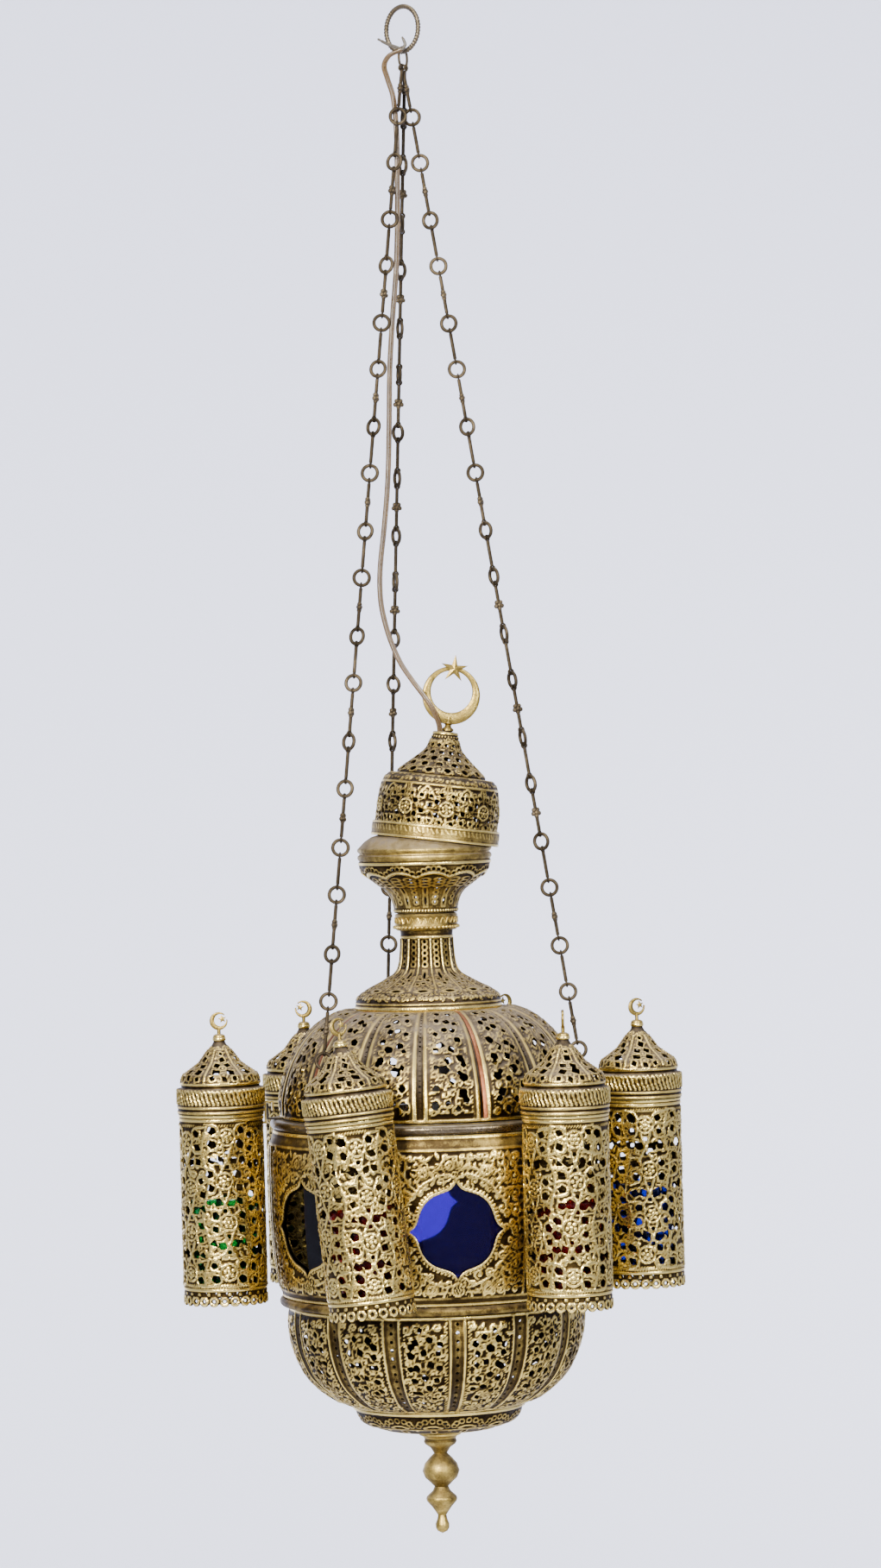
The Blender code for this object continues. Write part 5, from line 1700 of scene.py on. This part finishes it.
def tube_skin(rng):
    skin = Skin(
        Profile([(33.5, -902.0), (33.5, -914.2), (34.0, -914.6), (34.0, -1072.3)], smooth=False),
        1.12,
        1.1,
    )
    length = skin.profile.length
    dent(skin, rng, 14, 0.35, 12.0)
    skin.grow = 0.55
    skin.rub_rows(0.0, length, 0.43)
    skin.roll(13.8, 1.7, 1.6)
    skin.roll(17.2, 1.6, 1.4)
    rope_line(skin, 21.0, 2.2, 1.8, 0.8, 0.7)
    top, bottom = 23.0, 151.0
    columns, rows = 6, 4
    pitch = skin.width / columns
    gap = (bottom - top - 19.0) / (rows - 1)
    knobs = []
    for index in range(columns):
        for row in range(rows):
            lift = (3.0 if index % 2 else -3.0) * (0.3 if row in (0, rows - 1) else 1.0)
            knobs.append((index, row, skin.left + pitch * (index + 0.5) + rng.uniform(-3.0, 3.0),
                          top + 9.5 + gap * row + lift + rng.uniform(-1.8, 1.8)))

    def clear_ground(x, s):
        return all(math.hypot(x - knob[2], s - knob[3]) > 10.0 for knob in knobs)

    filigree_band(skin, rng, top + 1, bottom, 6.6, 1.0, 1.05, clear_ground)
    for index, row, x1, s1 in knobs:
        middle_x = skin.left + pitch * (index + 0.5)
        reach = pitch / 2
        for way in (-1, 1):
            side_x = middle_x + way * reach
            for lift in (-1, 1):
                skin.hole(x1 + way * 11.6 + rng.uniform(-1.0, 1.0), s1 + lift * 5.6, rng.uniform(3.1, 3.9),
                          int(rng.integers(4, 6)), rng.uniform(20, 70), 0.9, rng.uniform(1.0, 1.4))
                vine(skin, curve((x1 + way * 6.6, s1 + lift * 4.2), (x1 + way * 9.0, s1 + lift * 9.8),
                                 (side_x, s1 + lift * 11.2), count=7), 1.15, 1.1, True, 2.4)
            vine(
                skin,
                curve((x1 + way * 7.6, s1), (x1 + way * 11.5, s1 - 1.6), (side_x, s1 + 1.0), count=6),
                1.2,
                1.1,
            )
            if row == rows - 1:
                continue
            middle = s1 + gap / 2
            skin.hole(
                x1 + way * 5.6, middle + rng.uniform(-1.2, 1.2), rng.uniform(3.4, 4.4),
                int(rng.integers(4, 6)), 90 + way * rng.uniform(20, 65), 0.8, rng.uniform(1.1, 1.5),
            )
            skin.hole(
                x1 + way * 12.6, middle + rng.uniform(-1.6, 1.6), rng.uniform(2.8, 3.8),
                int(rng.integers(3, 6)), 45 + way * rng.uniform(0, 40), 0.8, rng.uniform(1.1, 1.5),
            )
            vine(
                skin,
                curve(
                    (x1 + way * 4.4, s1 + 7.0),
                    (x1 + way * 0.4, middle),
                    (x1 - way * 6.0, s1 + gap - 7.0),
                    count=9,
                ),
                1.25,
                1.2,
            )
        if row < rows - 1:
            skin.hole(x1, s1 + gap / 2 - 6.4, 2.3, 4, 45, 0.7)
            skin.hole(x1, s1 + gap / 2 + 6.2, 2.3, 4, 45, 0.7)
            skin.bead(x1, s1 + gap / 2, 1.9, 1.7)
        flower(skin, x1, s1, 7.9, int(rng.integers(5, 7)), rng.uniform(0, 60))
    for index in range(columns):
        drift = rng.uniform(-2.2, 2.2)
        stem = []
        for step in range(25):
            s = top - 1 + (bottom - top + 2) * step / 24
            stem.append((skin.left + pitch * (index + 1) + 2.8 * math.sin(s / 8.5 + drift), s))
        if index < columns - 1:
            vine(skin, stem, 1.5, 1.0, True, 2.5)
    skin.band_down(skin.left, 3.2, top - 1, bottom + 1, 1.0)
    skin.hole(math.radians(139.0) * skin.reference, 28.0, 2.35, 0, 0, 0.5)
    rope_line(skin, bottom + 2.4, 2.4)
    skin.roll(bottom + 5.6, 1.1, 0.9)
    count = 24
    skin.pierce_rows(bottom + 7.4, length + 5.0)
    for x0 in skin.spots(count):
        skin.ring(x0, length - 4.7, 3.0, 1.0, 1.1, filled=False)
        skin.keep_box(x0, 0.9, bottom + 7, length - 7.0)
        for way in (-1, 1):
            skin.bead(x0 + way * skin.width / count / 2, bottom + 9.2, 1.5, 0.7)
    return skin


def lid_skin(rng):
    shape = [
        (4.7, -851.0), (4.7, -855.5), (7.0, -859.5), (10.0, -863.5), (17.0, -873.0), (25.0, -878.8),
        (30.6, -882.5), (32.8, -888.0), (32.5, -892.6), (35.4, -893.6), (35.6, -895.0), (35.6, -914.0),
    ]
    skin = Skin(Profile(shape, smooth=False), 1.15, 1.0)
    length = skin.profile.length
    collar = length - 20.5
    ledge = skin.profile.length_at(-886.0)
    low = skin.profile.length_at(-862.0)
    filigree_band(skin, rng, low - 6.0, ledge, 4.6, 0.8, 0.8)
    ribs = 6
    pitch = skin.width / ribs
    for index in range(ribs):
        x0 = skin.left + pitch * index
        edge = x0 + pitch / 2
        for share, count, size in (
            (0.05, 1, 1.7), (0.22, 1, 3.0), (0.44, 2, 3.1), (0.68, 2, 4.0), (0.90, 3, 2.6)
        ):
            s0 = low + share * (ledge - low)
            squeeze = skin.squeeze_at(s0)
            for number in range(count):
                spread = (number - (count - 1) / 2) * (pitch - 5.0 / squeeze) / count
                skin.hole(edge + spread + rng.uniform(-0.8, 0.8), s0 + rng.uniform(-0.9, 0.9), size, 4,
                          rng.uniform(20, 70), 0.9, rng.uniform(0.9, 1.4))
        for share, size in ((0.54, 2.9), (0.80, 3.2)):
            s0 = low + share * (ledge - low)
            skin.ring(edge, s0, size, 0.9, 1.1)
            skin.bead(edge, s0, 1.3, 1.3)
        skin.band_down(x0, 1.8, low - 2, ledge - 1, 1.0)
        skin.beads([(x0, low - 1), (x0, ledge - 2)], 1.1, 1.7, 2.4)
    skin.roll(ledge + 1.2, 1.4, 0.9)
    skin.roll(2.2, 1.6, 0.9)
    skin.roll(low - 2.0, 1.1, 0.8)
    for x0 in skin.spots(58):
        skin.stroke(curve((x0 - 2.4, collar + 1.0), (x0 - 0.4, collar + 3.0), (x0 + 0.2, collar + 7.0),
                          (x0 + 2.4, collar + 12.0), count=7), 1.3, 1.3)
    skin.roll(collar + 15.0, 1.1, 0.8)
    skin.roll(length - 1.2, 1.4, 0.7)
    return skin


CLIP_RADIUS = 137.5
CLIP_HEIGHT = -907.0
TUBE_OUT = 38.5


def build_satellites(rng):
    turns = (30.0, 90.0, 150.0, 210.0, 270.0, 330.0)
    crescent_turns = (52.0, -75.0, 65.0, -50.0, 82.0, 50.0)
    leans = (0.0, 0.0, 0.0, 0.0, 0.0, -5.9)
    tube = sheet_mesh("sat_tube", tube_skin(rng))
    lid = sheet_mesh("sat_lid", lid_skin(rng))
    floor = turned(
        "sat_floor", [(10.2, -1056.6), (33.0, -1056.6), (33.0, -1057.8), (10.2, -1057.8)], 64, 0.3
    )
    tab = tab_mesh()
    top = turned(
        "sat_knob",
        [(0.0, -849.0), (3.0, -849.2), (4.9, -850.4), (5.0, -851.6), (3.0, -852.0), (0.0, -852.0)],
        36,
    )
    for number, (turn, lean, crescent_turn) in enumerate(zip(turns, leans, crescent_turns), start=1):
        pivot = around(CLIP_RADIUS, turn, CLIP_HEIGHT) * MM
        spin = Matrix.Rotation(math.radians(turn), 4, "Z")
        tilt = Matrix.Rotation(math.radians(lean), 4, "Y")
        out = Matrix.Translation(Vector((0.0, -TUBE_OUT, -CLIP_HEIGHT)) * MM)
        seat = Matrix.Translation(pivot) @ spin @ tilt @ out
        body, lid_body = f"satellite_{number}", f"satellite_{number}_lid"
        node = f"satellite_{number}_tube"
        show(f"sat_{number}_tube", tube, "satellite", body, (node,), seat)
        show(f"sat_{number}_floor", floor, "satellite", body, (node,), seat)
        show(f"sat_{number}_tab", tab, "satellite", body, (node,), seat)
        node = f"satellite_{number}_lid"
        show(f"sat_{number}_lid", lid, "lid", lid_body, (node,), seat)
        show(f"sat_{number}_knob", top, "lid", lid_body, (node,), seat)
        moon = crescent_solid(7.5, 5.0, 1.5, 20.0, 2.2, 48)
        star_shape(moon, Vector((0.0, 0.0, 3.4)), 3.6, 1.6, 0.4, 0.9)
        lean_over = Matrix.Rotation(math.radians(62.0), 3, "Y")
        lift = Vector((0.0, 0.0, -838.4))
        moon.places = [tuple(lean_over @ Vector(place) + lift) for place in moon.places]
        moon.wire([Vector((0, 0, -849.4)), Vector((0, 0, -845.0)), Vector((0, 0, -844.0))], 1.5, 12, 0.6)
        name = f"sat_{number}_crescent"
        facing = seat @ Matrix.Rotation(math.radians(crescent_turn), 4, "Z")
        show(name, moon.mesh(name), "bright", lid_body, (node,), facing)


def tab_mesh():
    """Bent strip that hangs the tube on its clip."""
    outline_points = tab_outline()
    places, faces = [], []
    for x in (-3.5, 3.5):
        for reach, height in outline_points:
            places.append((x, TUBE_OUT - (reach - CLIP_RADIUS), height))
    size = len(outline_points)
    faces.append(tuple(range(size)))
    faces.append(tuple(range(size, 2 * size)))
    for index in range(size):
        after = (index + 1) % size
        faces.append((index, after, size + after, size + index))
    return closed_mesh("sat_tab", places, faces, 0.45)


def tab_outline():
    riser, thickness, top, low = 138.6, 1.3, -905.9, -923.2
    inner, arm = 132.4, 143.4
    return [
        (riser, low - thickness),
        (arm, low - thickness),
        (arm, low),
        (riser + thickness, low),
        (riser + thickness, top),
        (inner, top),
        (inner, top - 8.0),
        (inner + thickness, top - 8.0),
        (inner + thickness, top - thickness),
        (riser, top - thickness),
    ]


# ---------------------------------------------------------------- cord


CORD_ROUTE = (
    (15.5, -3.2, -603.7), (14.4, -4.3, -596.0), (9.6, -6.5, -584.5), (1.3, -7.4, -572.0),
    (-7.0, -7.0, -560.5), (-16.7, -6.0, -545.0), (-24.4, -5.0, -526.0), (-29.6, -4.5, -506.0),
    (-31.8, -4.0, -488.0), (-31.0, -3.0, -465.0), (-26.4, -2.0, -430.0), (-22.4, -1.0, -393.0),
    (-20.0, 0.0, -350.0), (-18.2, 0.0, -302.0), (-14.6, 0.5, -258.0), (-10.4, 1.0, -218.0),
    (-8.2, 1.0, -178.0), (-7.2, 1.0, -136.0), (-7.0, 1.0, -100.0), (-9.0, 0.2, -74.0),
    (-13.6, -2.0, -58.5), (-16.6, -5.0, -48.0), (-12.6, -8.5, -40.0), (-2.4, -11.8, -35.5),
)
INNER_ROUTE = (
    (15.4, -3.2, -604.1), (13.5, -3.1, -630.0), (5.0, -2.0, -680.0), (0.5, 0.0, -740.0), (1.5, 1.0, -800.0),
    (0.0, 0.0, -850.0), (0.0, 0.0, -871.7),
)
WIRE_ENDS = (
    ((-2.4, -11.8, -35.5), (-8.0, -12.2, -33.0), (-15.0, -12.2, -30.5), (-22.0, -12.0, -26.6)),
    ((-2.4, -11.8, -35.5), (0.4, -12.1, -31.6), (-0.4, -12.2, -28.0), (-1.7, -12.0, -25.2)),
)


def flat_cord(solid, line, half_width, half_thickness, wear_and_shade=0.6):
    """Twin flat cord: two round cores side by side in one skin."""
    rings = []
    for index, point in enumerate(line):
        before, after = line[max(index - 1, 0)], line[min(index + 1, len(line) - 1)]
        run = (after - before).normalized()
        across = Vector((math.cos(math.radians(32.0)), math.sin(math.radians(32.0)), 0.0))
        if abs(run.dot(across)) > 0.9:
            across = Vector((0.0, 0.0, 1.0))
        across = (across - run * across.dot(run)).normalized()
        up = run.cross(across)
        ring = []
        for side in range(20):
            angle = math.tau * side / 20
            waist = 0.55 + 0.45 * abs(math.cos(angle)) ** 0.6
            reach = math.copysign(abs(math.cos(angle)) ** 0.8, math.cos(angle))
            bulge = half_thickness * (1.0 if abs(reach) > 0.3 else waist)
            ring.append(point + across * (half_width * reach) + up * (bulge * math.sin(angle)))
        rings.append(ring)
    solid.grid(rings, wear_and_shade)


def free_piece(name, mesh, material, node):
    """Cord mesh in place, without a parent, because it bends between two bodies."""
    piece = bpy.data.objects.new(name, mesh)
    mesh.materials.append(material)
    bpy.context.scene.collection.objects.link(piece)
    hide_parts(node)
    return piece


def build_cords():
    line = smooth_line(CORD_ROUTE, 220)
    outer = Solid()
    flat_cord(outer, line, 2.6, 1.45)
    cord = free_piece("cord_flat", outer.mesh("cord_flat"), MATERIALS["cord"], "cord")
    ends = Solid()
    for points in WIRE_ENDS:
        tip = smooth_line(points, 16)
        ends.wire(tip[:14], lambda share: 1.5 - 0.3 * share, 10, 0.6)
        for strand in range(5):
            angle = math.tau * strand / 5
            spread = Vector((math.cos(angle), math.sin(angle) * 0.6, math.sin(angle))) * 0.5
            bare = [tip[12] + spread * 0.8, tip[14] + spread * 1.2, tip[15] + spread * 1.5]
            ends.wire(bare, 0.42, 6, 0.8)
    tips = show("cord_ends", ends.mesh("cord_ends"), "cord_end", "lantern", ("cord",))
    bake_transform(cord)

    line = smooth_line(INNER_ROUTE, 90)
    inner = Solid()
    flat_cord(inner, line, 2.2, 1.5)
    inside = free_piece("cord_inside", inner.mesh("cord_inside"), MATERIALS["cord"], "cord_inner")
    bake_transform(inside)


# ---------------------------------------------------------------- materials in use and assembly


# Windows from the front, anticlockwise seen from above, and the glasses of the small lanterns
WINDOW_COLOURS = {
    1: (0.034, 0.003, 0.34),
    2: (0.55, 0.02, 0.02),
    3: (0.02, 0.30, 0.08),
    4: (0.80, 0.84, 0.80),
    5: (0.75, 0.32, 0.03),
    6: (0.006, 0.005, 0.008),
}
CUP_COLOURS = {
    1: (0.60, 0.03, 0.02),
    2: (0.03, 0.06, 0.50),
    3: (0.03, 0.35, 0.10),
    4: (0.80, 0.38, 0.04),
    5: (0.03, 0.35, 0.10),
    6: (0.60, 0.03, 0.02),
}


def dress_kept_pieces():
    """Better materials for the plain pieces that keep their first shape."""
    for number, colour in WINDOW_COLOURS.items():
        dress(f"window_glass_{number}", glass(f"window_pane_{number}", colour))
    for number, colour in CUP_COLOURS.items():
        dress(f"satellite_{number}_glass", glass(f"cup_pane_{number}", colour, 0.12))
        dress(f"satellite_{number}_clip", MATERIALS["flange"])
    holder = Nodes("holder_plastic_worn")
    place = holder.add("ShaderNodeTexCoord").outputs["Object"]
    mottle = holder.noise(place, 120.0, 4.0)
    holder.link(holder.ramp(mottle, ((0.3, (0.022, 0.020, 0.018)), (0.7, (0.07, 0.06, 0.05)))),
                holder.shader.inputs["Base Color"])
    holder.link(holder.span(mottle, 0.3, 0.7, 0.38, 0.62), holder.shader.inputs["Roughness"])
    dress("lamp_holder", holder.material)
    frosted = glass("frosted_bulb", (0.92, 0.90, 0.85), 0.35)
    dress("bulb", frosted)


def dress(node_name, material):
    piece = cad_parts[node_name]
    piece.data.materials.clear()
    piece.data.materials.append(material)


def cord_material(name, colour, deep):
    n = Nodes(name)
    place = n.add("ShaderNodeTexCoord").outputs["Object"]
    streak = n.noise(place, 60.0, 3.0)
    fine = n.noise(place, 600.0, 2.0)
    n.link(n.mix(streak, deep, colour), n.shader.inputs["Base Color"])
    n.link(n.span(fine, 0.3, 0.7, 0.22, 0.42), n.shader.inputs["Roughness"])
    n.shader.inputs["Subsurface Weight"].default_value = 0.1
    n.shader.inputs["Subsurface Radius"].default_value = (0.004, 0.002, 0.001)
    n.shader.inputs["Coat Weight"].default_value = 0.12
    bump = n.add("ShaderNodeBump")
    bump.inputs["Strength"].default_value = 0.3
    bump.inputs["Distance"].default_value = 0.0003
    n.link(streak, bump.inputs["Height"])
    n.link(bump.outputs["Normal"], n.shader.inputs["Normal"])
    return n.material


MATERIALS = {
    "ring": brass("ring_brass", GREY_BRONZE, 0.1, 0.11, gloss=0.3, dull=0.5, tone=-0.08),
    "chain": brass("chain_bronze", DARK, 0.1, 0.23, gloss=0.48, dull=0.62, tone=-0.06),
    "cap": brass("cap_brass", AGED, 0.65, 0.37, tone=-0.05),
    "bright": brass("finial_brass", BRIGHT, 0.2, 0.41, gloss=0.24, tone=0.0),
    "pendant": brass("pendant_brass", AGED, 0.5, 0.47, gloss=0.26, tone=-0.06),
    "shoulder": brass("shoulder_brass", AGED, 1.0, 0.53, tone=-0.15),
    "cup": brass("cup_brass", AGED, 0.35, 0.61, tone=-0.06),
    "neck": brass("neck_brass", AGED, 0.75, 0.71, tone=-0.02),
    "dome": brass("dome_brass", AGED, 1.0, 0.83, tone=-0.13),
    "lower_roll": brass("lower_roll_brass", AGED, 0.5, 0.19, gloss=0.3, tone=-0.14),
    "copper": brass("strip_copper", COPPER, 0.3, 0.91, gloss=0.3, dull=0.5),
    "flange": brass("flange_brass", GREY_BRONZE, 0.3, 0.97, gloss=0.2, dull=0.34),
    "drum": brass("drum_brass", AGED, 0.4, 1.13, tone=0.0),
    "bowl": brass("bowl_brass", AGED, 0.3, 1.27, tone=-0.04),
    "satellite": brass("satellite_brass", AGED, 0.35, 1.39, gloss=0.17, tone=0.09),
    "lid": brass("lid_brass", AGED, 0.85, 1.51, tone=0.02),
    "cord": cord_material("cord_copper", (0.19, 0.115, 0.040), (0.030, 0.016, 0.007)),
    "cord_end": cord_material("cord_end_grey", (0.11, 0.095, 0.065), (0.05, 0.04, 0.028)),
}

set_camera()
set_stage()
set_lights()
build_cords()
generator = np.random.default_rng(11)
build_rings()
build_chains()
build_cap(generator)
build_cup_and_neck(generator)
build_globe(generator)
build_satellites(generator)
dress_kept_pieces()
